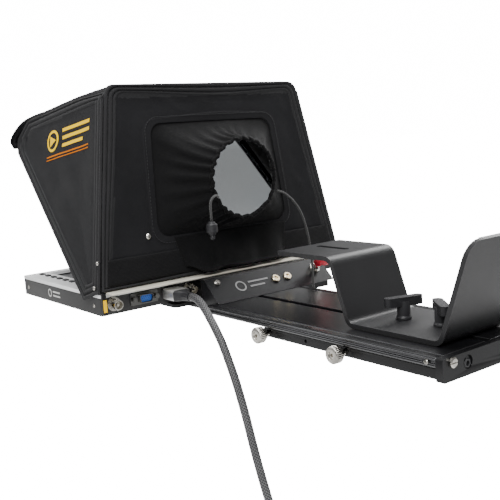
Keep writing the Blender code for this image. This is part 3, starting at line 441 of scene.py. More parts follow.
def rounded(corners, radii, steps=6):
    """A convex outline with its corners rounded."""
    result = []
    for i, (corner, radius) in enumerate(zip(corners, radii)):
        corner = Vector(corner)
        if radius == 0:
            result.append(tuple(corner))
            continue
        before = (Vector(corners[i - 1]) - corner).normalized()
        after = (Vector(corners[(i + 1) % len(corners)]) - corner).normalized()
        half = before.angle(after) / 2
        centre = corner + (before + after).normalized() * radius / math.sin(half)
        first = corner + before * radius / math.tan(half) - centre
        last = corner + after * radius / math.tan(half) - centre
        result += [tuple(centre + first.slerp(last, k / steps) * radius) for k in range(steps + 1)]
    return result


def distances(points):
    """How far each point of a line is from its start, along it."""
    result = [0.0]
    for a, b in zip(points, points[1:]):
        result.append(result[-1] + (b - a).length)
    return result


def point_along(points, want):
    """The point at a distance along a line, and the number of the line's point before it."""
    ways = distances(points)
    i = max(k for k, way in enumerate(ways[:-1]) if way <= want + 1e-6)
    return points[i].lerp(points[i + 1], (want - ways[i]) / (ways[i + 1] - ways[i])), i


def even_loop(outline, count):
    """Points spread evenly round a closed outline."""
    corners = [Vector(p) for p in outline]
    corners.append(corners[0])
    total = distances(corners)[-1]
    return [point_along(corners, total * k / count)[0] for k in range(count)]


def turned(profile, base, direction, count=32, bm=None, flute=0.0):
    """A profile of (along, radius) in millimetres turned about a line; radius 0 closes an end.

    A band whose entries end in 1 is fluted to this depth, a flute to every four points."""
    bm = bm or bmesh.new()
    direction = Vector(direction).normalized()
    side, other = square_to(direction)
    rings = []
    for along, radius, *fluted in profile:
        middle = Vector(base) + direction * (along * MM)
        ring = []
        for i, (x, y) in enumerate(circle(1.0, count) if radius else [(0.0, 0.0)]):
            cut = flute * FLUTE_SHAPE[i % 4] if any(fluted) else 0.0
            size = (radius - cut) * MM
            ring.append(bm.verts.new(middle + side * (size * x) + other * (size * y)))
        rings.append(ring)
    join_rings(bm, rings)
    return bm


def skin(name, grid, look, wrap=False, caps=False, thick=1.4 * MM, facing=None):
    """A cloth skin over rows of (point, flat coordinates) pairs; the weave follows the flat ones.

    It faces the given way, or away from its own middle, and its thickness goes inwards. With caps
    it is a closed form, and all of it faces outwards."""
    bm = bmesh.new()
    join_rings(bm, [[bm.verts.new(p) for p, _ in row] for row in grid], wrap, caps)
    bm.normal_update()
    middle = sum((v.co for v in bm.verts), Vector()) / len(bm.verts)
    away = sum(f.normal.dot(facing or (f.calc_center_median() - middle)) * f.calc_area()
               for f in bm.faces)
    if caps:
        bmesh.ops.recalc_face_normals(bm, faces=bm.faces)
    elif away < 0:
        bmesh.ops.reverse_faces(bm, faces=bm.faces)
    mesh = bpy.data.meshes.new(name)
    bm.to_mesh(mesh)
    bm.free()
    cloth = mesh.attributes.new("cloth", "FLOAT_VECTOR", "POINT")
    cloth.data.foreach_set("vector", [c for row in grid for _, (u, v) in row for c in (u, v, 0.0)])
    mesh.shade_smooth()
    for cap in mesh.polygons[-2:] if caps else ():
        cap.use_smooth = False
    obj = new_object(name, mesh, look)
    if thick:
        solid = obj.modifiers.new("cloth_thickness", "SOLIDIFY")
        solid.thickness = thick
        solid.offset = -1
    return obj


def grid_of(columns, rows, spot):
    """Rows of what spot(i, k) gives for column i and row k, both ends included."""
    return [[spot(i, k) for i in range(columns + 1)] for k in range(rows + 1)]


def bind_edges(cloth, distance):
    """Give the sewn tape along a cloth's edges its finer weave and a lighter colour, partly a
    painted highlight.

    distance(p) is how far a flat point is from the nearest edge, in millimetres."""
    cloth.data.materials.append(LOOKS["nylon_fine"])
    flat = cloth.data.attributes["cloth"].data
    for face in cloth.data.polygons:
        middle = sum((flat[v].vector for v in face.vertices), Vector()) / len(face.vertices) / MM
        if distance(middle.xy) < TAPE_WIDTH:
            face.material_index = 1


def tube_grid(points, radius, sides, swell=None):
    """Rings of points round a path, without twist, each with its flat coordinates."""
    grid, along = [], 0.0
    normal = (points[1] - points[0]).orthogonal().normalized()
    for i, p in enumerate(points):
        ahead = points[min(i + 1, len(points) - 1)] - points[max(i - 1, 0)]
        tangent = ahead.normalized()
        normal = (normal - tangent * normal.dot(tangent)).normalized()
        other = tangent.cross(normal)
        if i:
            along += (p - points[i - 1]).length
        size = radius * (swell(along) if swell else 1.0)
        grid.append([(p + normal * x + other * y,
                      (along, 2 * math.pi * radius * min(k, sides - k) / sides))
                     for k, (x, y) in enumerate(circle(size, sides))])
    return grid


def tube(name, points, radius, sides, look):
    """A round cord along a path, closed at both ends."""
    return skin(name, tube_grid(points, radius, sides), look, wrap=True, caps=True, thick=0)


def smooth_route(points, spacing):
    """Evenly spaced points on a smooth curve through given ones."""
    dense = []
    padded = [2 * points[0] - points[1], *points, 2 * points[-1] - points[-2]]
    for a, b, c, d in zip(padded, padded[1:], padded[2:], padded[3:]):
        for k in range(20):
            t = k / 20
            dense.append(0.5 * (2 * b + (c - a) * t + (2 * a - 5 * b + 4 * c - d) * t**2
                                + (3 * b - a - 3 * c + d) * t**3))
    dense.append(points[-1])
    result, carried = [dense[0]], 0.0
    for a, b in zip(dense, dense[1:]):
        carried += (b - a).length
        if carried >= spacing:
            result.append(b)
            carried = 0.0
    if (result[-1] - dense[-1]).length > spacing * 0.4:
        result.append(dense[-1])
    else:
        result[-1] = dense[-1]
    return result


def refine(node, look=None, width=0.6, segments=2, edge=None):
    """A finished copy of a CAD node: flat faces merged, edges rounded, maybe in a second look."""
    bm = bmesh.new()
    bm.from_mesh(frame["nodes"][node].data)
    bmesh.ops.remove_doubles(bm, verts=bm.verts, dist=0.002 * MM)
    bmesh.ops.dissolve_limit(bm, angle_limit=math.radians(0.6), verts=bm.verts, edges=bm.edges)
    looks = [look or NODE_SLOT[node]] + ([edge] if edge else [])
    mesh = finish_mesh(bm, f"{node}_finish")
    obj = new_object(mesh.name, mesh, looks, NODE_BODY[node], NODE_SLOT[node])
    bevel = obj.modifiers.new("rounded_edges", "BEVEL")
    bevel.width = width * MM
    bevel.segments = segments
    bevel.limit_method = "ANGLE"
    bevel.angle_limit = math.radians(32)
    bevel.harden_normals = True
    if edge:
        bevel.material = 1
    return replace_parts(obj, node)


def dress(node, look=None):
    """A procedural material on a CAD node that is shown as it is."""
    obj = frame["nodes"][node]
    obj.data.materials.clear()
    obj.data.materials.append(LOOKS[look or NODE_SLOT[node]])
    obj.data.shade_smooth()
    obj.data.set_sharp_from_angle(angle=math.radians(35))
    return obj


# ---------------------------------------------------------------- camera and cords


def make_camera():
    """Behind the object and to its left, a little above the camera platform."""
    data = bpy.data.cameras.new("photo_view")
    data.lens = 56.6
    data.sensor_width = 36.0
    data.shift_y = 0.0204
    data.clip_start = 0.02
    camera = link_object("photo_view", data)
    camera.matrix_world = (Matrix.Translation((-0.4836, -0.4494, 0.1825))
                           @ Matrix.Rotation(math.radians(-37.19), 4, "Z")
                           @ Matrix.Rotation(math.radians(90 - 9.11), 4, "X")
                           @ Matrix.Rotation(math.radians(-3.88), 4, "Z"))
    bpy.context.scene.camera = camera


def cable_points():
    """The video lead: given points down to the coil, its turns by rule, a short tail to the plug.
    """
    line = [(-77, -39.8, 11.5), (-77, -47, 11.3), (-77.2, -55, 8.6), (-78, -63.5, 2.8),
            (-79, -73, -5), (-80, -83, -14.5), (-80.6, -92.5, -26), (-81, -101, -40),
            (-81, -109, -56), (-81, -116, -73), (-81, -122.5, -91), (-81, -128.5, -110),
            (-80.5, -134.5, -130), (-79.5, -140.5, -150), (-78, -146.5, -170),
            (-75.2, -152.5, -189), (-73.4, -155.5, -204), (-72.8, -156, -217.2),
            (-72.8, -156, -231)]
    points = [rig(*p) for p in line]
    cx, cy, cz = COIL_CENTRE
    steps = 20
    # Each turn lies in one plane and crosses to the next turn's over a short part of its way round
    for k in range(COIL_TURNS * steps + 1):
        turn, part = divmod(k / steps, 1.0)
        crossing = smoothstep((part - 0.785) / 0.135)
        x = cx + COIL_PITCH * (1 - turn - crossing)
        angle = 2 * math.pi * part
        points.append(rig(x, cy - COIL_R * math.cos(angle), cz - COIL_R * math.sin(angle)))
    last = points[-1]
    points += [last - Vector((0, 0, drop * MM)) for drop in (10.0, 20.0, 30.7)]
    return smooth_route(points, 3.0 * MM)


def make_plug(node, away):
    """Silver plug; its tapered strain relief, past the shell along this direction, is black."""
    shell = 29 * MM
    plug = refine(node, width=0.5)
    plug.data.materials.append(LOOKS["black_plastic"])
    low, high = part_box(node)
    away = Vector(away)
    start = min(low.dot(away), high.dot(away))
    for face in plug.data.polygons:
        if face.center.dot(away) - start > shell:
            face.material_index = len(plug.data.materials) - 1
    return plug


def declare_cord(cord, points, radius, pieces, **facts):
    """The cord's start, length and route, worked out from its own points and not kept."""
    tuple(points[0])
    round(distances(points)[-1], 3)
    [tuple(p) for p in points]


def make_cable():
    points = cable_points()
    cable = tube("video_cable", points, CABLE_R * MM, 16, "cable_braid")
    place(cable, "monitor_head", "cable_braid", "digital_cable", "digital_cable_coil")
    plugs = [make_plug("digital_plug", (0, -1, 0)), make_plug("digital_far_plug", (0, 0, 1))]
    tie = refine("cable_tie", "black_plastic", 0.6)
    declare_cord(cable, points, CABLE_R, [*plugs, tie], far_end="plug", stiffness="medium")


def make_cord_lock(node):
    """Spring-barrel cord lock: ribbed body, push button and a ball on its end."""
    centre = centre_of(node)
    top = Vector((centre.x, centre.y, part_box(node)[1].z))
    profile = [(0, 2.6), (0.6, 3.4), (1.8, 3.8), (2.2, 5.0), (3.1, 5.5), (4.2, 5.6), (4.9, 5.3),
               (5.6, 5.6), (6.9, 5.7), (7.5, 5.4), (8.2, 5.7), (9.8, 5.7), (10.7, 5.1), (11.0, 4.0),
               (11.4, 3.7), (12.4, 3.7), (12.9, 2.7), (13.5, 2.5)]
    ball_at, ball_r = 15.5, 2.5
    turns = [math.pi * k / 10 for k in range(3, 10)]
    ball = [(ball_at - ball_r * math.cos(t), ball_r * math.sin(t)) for t in turns]
    ball.append((ball_at + ball_r, 0))
    lock = fitting(f"{node}_barrel", turned(profile + ball, top, (0, 0, -1)), "black_plastic",
                   NODE_BODY[node], NODE_SLOT[node], 50)
    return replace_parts(lock, node)


def make_drawcords():
    """The shroud's drawcord: a long end hanging free on the right and a short end on the left."""
    long_line = [(38.5, -41, 104), (44, -46, 101), (51, -50.5, 93), (58, -54, 80), (63, -56, 62),
                 (66, -57, 42), (67, -57.5, 22), (67.3, -57.5, 2), (67.5, -57.5, -18),
                 (67.5, -57.5, -38), (67.5, -57.5, -52)]
    short_line = [(-37, -41, 105), (-42, -46, 107), (-48.5, -50.5, 107), (-53.5, -52.2, 103.5),
                  (-55, -52.5, 98), (-55, -52.5, 91), (-55, -52.5, 84)]
    for word, line in (("long", long_line), ("short", short_line)):
        points = smooth_route([rig(*p) for p in line], 2.0 * MM)
        cord = tube(f"drawcord_{word}_braid", points, CORD_R * MM, 10, "cord")
        place(cord, "hood_back", "cord", f"drawcord_{word}")
        lock = make_cord_lock(f"cord_lock_{word}")
        declare_cord(cord, points, CORD_R, [lock], far_end="fitting", stiffness="limp")


# ---------------------------------------------------------------- hood cloth

# Distances from a bound edge where the cloth has points, and the width of the edge's finer tape
BORDER_STEPS = [0.0, 0.4, 1.0, 1.9, 2.9, 3.7, 4.2, 4.7, 5.2, 5.7, 6.3, 7.2, 8.1, 8.8, 9.4, 9.9,
                10.4, 11.0, 11.8, 12.5, 13.1, 14.0, 16.0]
TAPE_WIDTH = 13.3
# A bound edge: half the rolled rim's width and its height, its ribs (middle, half width, height),
# the grooves between them (middle, depth) and the rows of stitches in the grooves
RIM_HALF, RIM_HIGH = 2.0, 1.7
RIBS = ((7.2, 2.2, 1.35), (11.7, 1.5, 0.8))
GROOVES = ((4.6, 0.9), (9.85, 0.7), (13.5, 0.4))
STITCH_LINES = (5.1, 9.9)


def side_x(y, z):
    return SIDE_X + SIDE_PER_Z * (z - PLANE_Z) + SIDE_PER_Y * (y - BACK_Y)


def back_y(z):
    return BACK_Y + BACK_PER_Z * (z - PLANE_Z)


def spread(length, count):
    """Distances along a length: close together in both borders, even between them."""
    border = [d * min(1.0, length / (2.4 * BORDER_STEPS[-1])) for d in BORDER_STEPS]
    inset = border[-1]
    inner = [inset + (length - 2 * inset) * k / count for k in range(1, count)]
    return border + inner + [length - d for d in reversed(border)]


def bulge(distance, middle, half, rise):
    return rise * math.sqrt(max(0.0, 1 - ((distance - middle) / half) ** 2))


def piping(distance):
    """Height of a bound edge at a distance from it."""
    if distance < 2 * RIM_HALF:
        return bulge(distance, RIM_HALF, RIM_HALF, RIM_HIGH)
    ribs = sum(bulge(distance, *rib) for rib in RIBS)
    return ribs - sum(depth * math.exp(-((distance - at) / 0.5) ** 2) for at, depth in GROOVES)


def shoulder_radius(y):
    """Radius of the rounded edge between the top and a side, largest at the rear."""
    return 5.0 + 10.5 * smoothstep((70 - y) / 60) - 5.0 * smoothstep((y - 125) / 30)


def shoulder(distance, radius):
    """How far a panel turns along itself and off its plane, near the edge of the top."""
    if distance >= radius or radius < 0.2:
        return 0.0, 0.0
    angle = math.pi / 4 * (1 - distance / radius)
    return radius * math.sin(angle) - (radius - distance), radius * (1 - math.cos(angle))


def line_distance(p, a, b):
    along = (b - a).normalized()
    offset = p - a
    return abs(along.x * offset.y - along.y * offset.x)


# The side cloth lies this far inside its plane; its corners, as (y, z), and its straight edges
SIDE_INSET = 1.1
SIDE_REAR_LOW = Vector((back_y(HOOD_LOW), HOOD_LOW))
SIDE_REAR_HIGH = Vector((back_y(HOOD_HIGH), HOOD_HIGH + 1.5))
SIDE_FRONT_LOW = Vector((24.0, 15.0))
SIDE_FRONT_HIGH = Vector((180.0, 161.0))
SIDE_NOSE = Vector((181.0, 175.5))
SIDE_ROOF_FRONT = Vector((160.0, 196.0))
SIDE_FRONT_EDGE = [SIDE_FRONT_LOW, SIDE_FRONT_HIGH, SIDE_NOSE, SIDE_ROOF_FRONT]
SIDE_EDGES = [*zip(SIDE_FRONT_EDGE, SIDE_FRONT_EDGE[1:]), (SIDE_REAR_LOW, SIDE_REAR_HIGH),
              (SIDE_REAR_HIGH, SIDE_ROOF_FRONT), (SIDE_REAR_LOW, SIDE_FRONT_LOW)]


def side_distance(p):
    return min(line_distance(p, a, b) for a, b in SIDE_EDGES)


def side_relief(y, z, side):
    """Height of the side cloth over its plane: bound edges, a slight belly and slack creases."""
    distance = side_distance(Vector((y, z)))
    slack = smoothstep((distance - 12) / 30)
    along, across = (y + z) * 0.707, (z - y) * 0.707
    crease = uneven(across / 19, along / 85, 3.0 * side)
    ripple = uneven(y / 30, z / 24, 7.0 + side)
    return piping(distance) + slack * (1.2 * crease + 0.7 * ripple - 1.6)


def side_point(side, y, z, lift=0.0):
    """A point on the side cloth, turned over towards the top near its upper edge."""
    normal = Vector((1, -SIDE_PER_Y, -SIDE_PER_Z)).normalized()
    from_top = line_distance(Vector((y, z)), SIDE_REAR_HIGH, SIDE_ROOF_FRONT)
    rise, turned_in = shoulder(from_top, shoulder_radius(y))
    off = side_relief(y, z, side) - SIDE_INSET + lift - turned_in
    p = Vector((side_x(y, z), y, z + rise)) + normal * off
    return rig(side * p.x, p.y, p.z)


def fold(obj, node=None):
    """Nylon between the glass frame and the rear panel, with its placement baked into its mesh."""
    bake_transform(obj)
    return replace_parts(obj, node) if node else obj


# Steps of the cloth turned in behind the rear panel: how far in, and how far ahead of it
RETURN = ((11.0, 3.2), (6.0, 3.0), (3.0, 2.8), (1.2, 2.2), (0.2, 1.0))


def rear_return(side, z):
    """Cloth that turns in behind the rear panel's edge and closes the corner from inside."""
    y = back_y(z)
    return [rig(side * (side_x(y, z) - inward), y + ahead, z) for inward, ahead in RETURN]


def make_hood_side(side, word):
    """One side cloth, with its bound edges, the strip turned in at the rear and its stitching."""
    grid = []
    height = (SIDE_REAR_HIGH - SIDE_REAR_LOW).length
    for up in spread(height, 26):
        share = up / height
        rear = SIDE_REAR_LOW.lerp(SIDE_REAR_HIGH, share)
        front = point_along(SIDE_FRONT_EDGE, share * distances(SIDE_FRONT_EDGE)[-1])[0]
        length = (front - rear).length
        inside = rear_return(side, min(rear.y, HOOD_HIGH - 9))
        strip = [(rear.x - RETURN[0][0] + 2.5 * k) * MM for k in range(len(RETURN))]
        row = [(p, (y, rear.y * MM)) for p, y in zip(inside, strip)]
        for d in spread(length, 22):
            p = rear.lerp(front, d / length)
            row.append((side_point(side, *p), (p.x * MM, p.y * MM)))
        grid.append(row)
    cloth = skin(f"hood_side_{word}_cloth", grid, "nylon", facing=Vector((side, 0, 0)))
    bind_edges(cloth, side_distance)
    fold(cloth, f"hood_side_{word}")
    seams = ((SIDE_REAR_LOW, SIDE_REAR_HIGH, -1), (SIDE_FRONT_LOW, SIDE_FRONT_HIGH, 1),
             (SIDE_REAR_HIGH, SIDE_ROOF_FRONT, -1))
    lines = [inset_line(a, b, inset, turn) for a, b, turn in seams for inset in STITCH_LINES]
    stitches(f"hood_side_{word}_stitches",
             [[side_point(side, *p, 0.15) for p in line] for line in lines])


def make_corner_rivets():
    """Domed nickel rivets that hold each side cloth's lower rear corner to the frame."""
    profile = [(-0.3, 2.1), (0.5, 2.1), (0.9, 1.85), (1.3, 1.2), (1.5, 0.6), (1.55, 0)]
    for side, word in SIDES:
        bm = bmesh.new()
        for y, z in ((5.2, 28.5), (2.8, 52.0)):
            turned(profile, side_point(side, y, z), (side, 0, 0), 20, bm)
        fitting(f"hood_corner_rivets_{word}", bm, "steel", "glass")


def inset_line(a, b, inset, turn):
    """Points 1 mm apart on a line beside an edge, kept clear of its ends."""
    along = (b - a).normalized()
    across = Vector((-along.y, along.x)) * turn
    count = int((b - a).length) - 16
    return [a + along * (8 + k) + across * inset for k in range(count)]


def stitches(name, lines, body=None):
    """Rows of 2 mm thread stitches, with 1 mm gaps, along lines of points 1 mm apart."""
    bm = bmesh.new()
    for line in lines:
        for start, end in zip(line[::3], line[2::3]):
            side, other = square_to((end - start).normalized())
            rings = []
            for at, size in ((0.0, 0.12), (0.18, 0.3), (0.82, 0.3), (1.0, 0.12)):
                middle = start.lerp(end, at)
                rings.append([bm.verts.new(middle + (side * x + other * y))
                              for x, y in circle(size * MM, 5)])
            join_rings(bm, rings)
    obj = new_object(name, finish_mesh(bm, name, 60), "thread")
    return place(obj, body, "nylon") if body else fold(obj)


# Rear panel


# Height below which the panel narrows a little more
KNEE = 85.0


def back_half(z):
    """Half width of the rear panel, which keeps clear of the sides as it folds."""
    return side_x(back_y(z), z) - 1.4 - max(0.0, KNEE - z) * 0.02


def back_outline():
    corners = [(back_half(z), z) for z in (HOOD_LOW, KNEE, PANEL_HIGH)]
    corners = [(-corners[0][0], HOOD_LOW), *corners] + [(-x, z) for x, z in reversed(corners[1:])]
    return rounded(corners, [0, 0, 0, 12, 12, 0], 8)


def window_outline(inset=0.0):
    low, high = WINDOW_LOW + inset, WINDOW_HIGH - inset
    half_low, half_high = WINDOW_HALF_LOW - inset, WINDOW_HALF_HIGH - inset
    corners = [(-half_low, low), (half_low, low), (half_high, high), (-half_high, high)]
    return rounded(corners, [WINDOW_CORNER - inset * 0.5] * 4, 8)


def back_point(x, z, lift=0.0):
    """A point on the rear panel, lifted off its plane."""
    normal = Vector((0, -1, BACK_PER_Z)).normalized()
    return rig(*(Vector((x, back_y(z), z)) + normal * lift))


def make_rear_panel():
    columns = 480
    outer, inner = even_loop(back_outline(), columns), even_loop(window_outline(), columns)
    steps = [spread((b - a).length, 10) for a, b in zip(outer, inner)]

    def spot(i, k):
        a, b, from_edge = outer[i], inner[i], steps[i][k]
        length = steps[i][-1]
        p = a.lerp(b, from_edge / length)
        from_window = length - from_edge
        slack = smoothstep((min(from_edge, from_window) - 12) / 16)
        crease = uneven(p.x / 26, p.y / 34, 11.0)
        corner = uneven((p.x + p.y) / 16, (p.x - p.y) / 60, 5.0)
        binding = 0.7 * smoothstep((9.0 - from_window) / 0.8) if from_window < 10 else 0.0
        height = piping(from_edge) + binding + slack * (1.0 * crease + 0.7 * corner - 0.6)
        return back_point(p.x, p.y, height), (p.x * MM, p.y * MM)

    grid = grid_of(columns - 1, len(steps[0]) - 1, spot)
    panel = skin("hood_rear_panel_cloth", grid, "nylon", wrap=True, facing=BACKWARDS)
    bind_edges(panel, lambda p: min(back_half(p.y) - abs(p.x), PANEL_HIGH - p.y, p.y - HOOD_LOW))
    place(panel, "hood_back", "nylon", "hood_rear_panel")
    centre = Vector((0, 118))
    inset = [p + (centre - p).normalized() * 5.6 for p in even_loop(back_outline(), 900)]
    around = even_loop(window_outline(-6.2), 520)
    stitches("hood_rear_panel_stitches", [[back_point(p.x, p.y, 0.1) for p in inset],
                                          [back_point(p.x, p.y, 1.2) for p in around]], "hood_back")


def make_lower_band():
    """Darker looped cloth along the foot of the rear panel: painted shadow, laid on as a sheet."""
    low, high, columns, rows = 28.5, 54.0, 120, 14

    def spot(i, k):
        z = low + (high - low) * k / rows
        half = back_half(z) - 5.5
        x = -half + 2 * half * i / columns
        border = min(z - low, high - z, half - abs(x))
        lift = 1.0 + 0.8 * smoothstep(border / 2.0) + 0.3 * uneven(x / 20, z / 12, 2)
        return back_point(x, z, lift), (x * MM, z * MM)

    band = skin("hood_lower_shadow_sheet", grid_of(columns, rows, spot), "pile", thick=1.0 * MM,
                facing=BACKWARDS)
    place(band, "hood_back", "nylon")


# Shroud


# Gathers round the shroud's mouth
PLEATS = 25


def pleat(angle, seed=0.0):
    """Uneven gathers round the lens opening, about from -1 to 1."""
    wobble = 1.1 * uneven(math.cos(angle) * 1.7, math.sin(angle) * 1.7, seed)
    wave = math.sin(PLEATS * angle + 2.2 * wobble)
    return math.copysign(abs(wave) ** 0.75, wave) * (0.8 + 0.4 * wobble)


def shroud_point(start, share):
    """A point a share of the way from the window's edge to the gathered mouth."""
    middle = Vector((0.0, LENS_Z))
    flat = start - middle
    angle = math.atan2(flat.y, flat.x)
    at = flat.lerp(flat.normalized() * MOUTH_R, share ** 0.85)
    gathered, slack = smoothstep(share * 1.15), math.sin(math.pi * share)
    billow = 1.8 * slack * uneven(angle * 1.3, share * 2, 4)
    sag = 3.5 * slack * max(0.0, math.sin(angle))
    y = back_y(start.y) * (1 - share) + 1.0 + (LENS_Y - 1.0) * share ** 1.35
    y -= gathered * 1.2 * pleat(angle + 0.06) * (1 - share) * 1.5
    at = at.normalized() * (at.length + gathered * 1.7 * pleat(angle) + billow)
    return rig(at.x, y, LENS_Z + at.y - sag)


def make_shroud():
    """The gathered sleeve round the lens opening, and the elastic in its hem."""
    columns, rows = 400, 28
    start = even_loop(window_outline(-1.5), columns)

    def spot(i, k):
        share = k / rows
        return shroud_point(start[i], share), (min(i, columns - i) * 1.1 * MM, share * 60 * MM)

    sleeve = skin("lens_shroud_cloth", grid_of(columns - 1, rows, spot), "shroud_cloth", wrap=True,
                  thick=1.0 * MM)
    place(sleeve, "hood_back", "shroud_cloth", "lens_shroud")
    loop, count = [], 300
    for i in range(count + 1):
        angle = 2 * math.pi * i / count
        radius = MOUTH_R + 0.9 * pleat(angle)
        loop.append(rig(radius * math.cos(angle), LENS_Y - 0.6 - 0.5 * pleat(angle + 0.1),
                        LENS_Z + radius * math.sin(angle)))
    grid = tube_grid(loop, 1.9 * MM, 12, lambda along: 1 + 0.14 * math.sin(along * 1500))
    hem = skin("lens_shroud_elastic", grid, "shroud_cloth", wrap=True, thick=0)
    place(hem, "hood_back", "shroud_cloth")


def make_skirt():
    """Loose cloth below the window that hangs in soft folds down to the monitor."""
    columns, rows, top = 160, 30, 66.0

    def spot(i, k):
        drop = k / rows
        left, right = -66.0 + 8.0 * drop, 80.0 - 8.0 * drop
        x = left + (right - left) * i / columns
        edge = smoothstep(min(i, columns - i) / 22)
        bottom = 29.0 + 6.0 * (1 - edge) + 2.5 * uneven(x / 22, 0, 8)
        z = top + (bottom - top) * drop
        wave = math.sin(x / 7.5 + 2.0 * uneven(x / 26, drop, 1))
        out = -1.6 - (3.0 * drop + 8.5 * drop * drop) * (0.25 + 0.75 * edge)
        hem = 0.6 * smoothstep((drop - 0.93) / 0.02)
        return rig(x, back_y(z) + out - 2.2 * wave * drop * edge - hem, z), (x * MM, z * MM)

    # The skirt takes the darkest cloth, not the hood's nylon: it is partly painted shade below the
    # window
    skirt = skin("shroud_skirt_cloth", grid_of(columns, rows, spot), "shroud_cloth", thick=1.2 * MM,
                 facing=BACKWARDS)
    place(skirt, "hood_back", "nylon", "shroud_skirt")


# Top


def top_profile():
    """Smooth side outline of the top, (y, z, half width), from its rear edge to the cuff's lip."""
    marks = [(16.9, 218.5, 120.8), (36, 215.8, 124.0), (60, 212.4, 127.0), (85, 208.5, 130.4),
             (110, 204.5, 133.8), (135, 200.5, 137.2), (158, 196.7, 140.2), (169, 193.2, 143.7),
             (177.5, 187.2, 147.4), (183.6, 179.5, 151.0), (186.0, 172.5, 152.6),
             (183.2, 165.2, 150.8)]
    return smooth_route([Vector(m) for m in marks], 0.9)


def make_hood_top():
    """The top sheet: it sags between its bound edges and folds down over the sides and the cuff."""
    profile = top_profile()
    total = distances(profile)[-1]
    grid = []
    for want in spread(total, 44):
        p, i = point_along(profile, want)
        ahead = (profile[min(i + 4, len(profile) - 1)] - profile[max(i - 4, 0)]).normalized()
        radius, half = shoulder_radius(p.x), p.z
        tucked = 1.6 * (1 - smoothstep((want - 1.0) / 5.0))
        row = []
        for d in spread(2 * half, 30):
            from_side, from_end = min(d, 2 * half - d), min(want, total - want)
            slack = smoothstep((min(from_side, from_end) - 12) / 40)
            sag = slack * (2.4 + uneven((d - half) / 45, p.x / 20, 9.0))
            outward, turned_down = shoulder(from_side, radius)
            rim = piping(min(from_side, from_end)) * (0.5 if from_side < from_end else 1.0)
            hem = 1.8 * (1 - smoothstep(from_side / 1.1)) * smoothstep((want - 1) / 5)
            lift = 0.6 + 1.3 * smoothstep((from_side - 3) / 12) + rim - sag
            lift -= turned_down + tucked + hem
            out = max(half - from_side + outward + 0.9 * smoothstep(min(1, hem)), 0.0)
            at = rig(math.copysign(out, d - half), p.x - ahead.y * lift, p.y + ahead.x * lift)
            row.append((at, ((d - half) * MM, want * MM)))
        grid.append(row)
    top = skin("hood_top_cloth", grid, "nylon", thick=1.6 * MM, facing=Vector((0, 0, 1)))
    fold(top, "hood_top")


# Printed marks


def printed(name, look, quads, spot, body=None, slot=None):
    """Thin printed patches; each quad's corners are in the surface's own two coordinates."""
    bm = bmesh.new()
    steps = 6
    for quad in quads:
        a, b, c, d = (Vector(p) for p in quad)
        rims = []
        for lift in (0.12, 0.34):
            grid = []
            for j in range(steps + 1):
                left, right = a.lerp(d, j / steps), b.lerp(c, j / steps)
                grid.append([bm.verts.new(spot(*left.lerp(right, i / steps), lift))
                             for i in range(steps + 1)])
            join_rings(bm, grid, wrap=False, caps=False)
            rims.append(grid[0] + [row[-1] for row in grid[1:]] + grid[-1][-2::-1]
                        + [row[0] for row in grid[-2:0:-1]])
        join_rings(bm, rims, caps=False)
    obj = new_object(name, finish_mesh(bm, name), look, body, slot)
    return obj if body else fold(obj)


def ring_quads(centre, outer, inner, count=20):
    one, two = circle(outer, count, centre), circle(inner, count, centre)
    return [(one[i], one[(i + 1) % count], two[(i + 1) % count], two[i]) for i in range(count)]


def play_mark(centre, size, way=1):
    """A play triangle in a ring."""
    x, y = centre
    tip = 0.45 * size * way
    back, front, half, blunt = x - tip, x + tip * 1.2, 0.5 * size, 0.03 * size
    triangle = (back, y - half), (front, y - blunt), (front, y + blunt), (back, y + half)
    return ring_quads(centre, size, size * 0.76) + [triangle]


def bar(x_low, x_high, y_low, y_high):
    return ((x_low, y_low), (x_high, y_low), (x_high, y_high), (x_low, y_high))


PRINT_SLOPE = 0.15


def make_side_marks():
    """A generic play mark, plain script bars and a thin line on each side of the hood."""
    for side, word in SIDES:
        def place_mark(first, second, lift, side=side):
            return side_point(side, first, second + PRINT_SLOPE * (104.0 - first), lift)

        icon = 106.5 if side < 0 else 49.5
        bars = (38.0, 88.0) if side < 0 else (68.0, 118.0)
        way = -1 if side < 0 else 1
        quads = play_mark((icon, 171.0), 11.0, way)
        long, short = bars, (bars[0] + 12, bars[1]) if side < 0 else (bars[0], bars[1] - 12)
        quads += [bar(*long, 176.8, 180.2), bar(*long, 169.3, 172.7), bar(*short, 161.8, 165.2)]
        printed(f"hood_mark_{word}", "print_yellow", quads, place_mark)
        lines = [bar(38.0, 118.0, 155.0, 156.4), bar(38.0, 118.0, 152.0, 153.0)]
        printed(f"hood_line_{word}", "print_orange", lines, place_mark)


def make_small_marks():
    """A small generic mark on each side of the monitor and one on the ramp."""
    for side, word in SIDES:
        def place_mark(y, z, lift, side=side):
            return rig(side * (MONITOR_HALF + lift), y, z)

        quads = ring_quads((118.0, 10.5), 4.4, 3.1, 16)
        quads += [bar(93.0, 110.0, 11.8, 13.4), bar(93.0, 110.0, 7.6, 9.2)]
        printed(f"monitor_mark_{word}", "print_white", quads, place_mark, "monitor_head",
                "monitor_case")

    foot, high = Vector((-50.0, 0.3)), Vector((-27.0, 22.5))
    slope = (high - foot).normalized()
    normal = Vector((-slope.y, slope.x))

    def place_on_ramp(x, up, lift):
        p = foot + slope * up + normal * lift
        return rig(x, p.x, p.y)

    quads = ring_quads((-15.0, 16.0), 6.4, 4.8, 18)
    quads += [bar(-4.0, 22.0, 18.0, 20.0), bar(-4.0, 15.0, 12.4, 14.4)]
    printed("ramp_mark", "print_grey", quads, place_on_ramp, "base_plate", "black_anodised")


# ---------------------------------------------------------------- metal, plastic and fittings


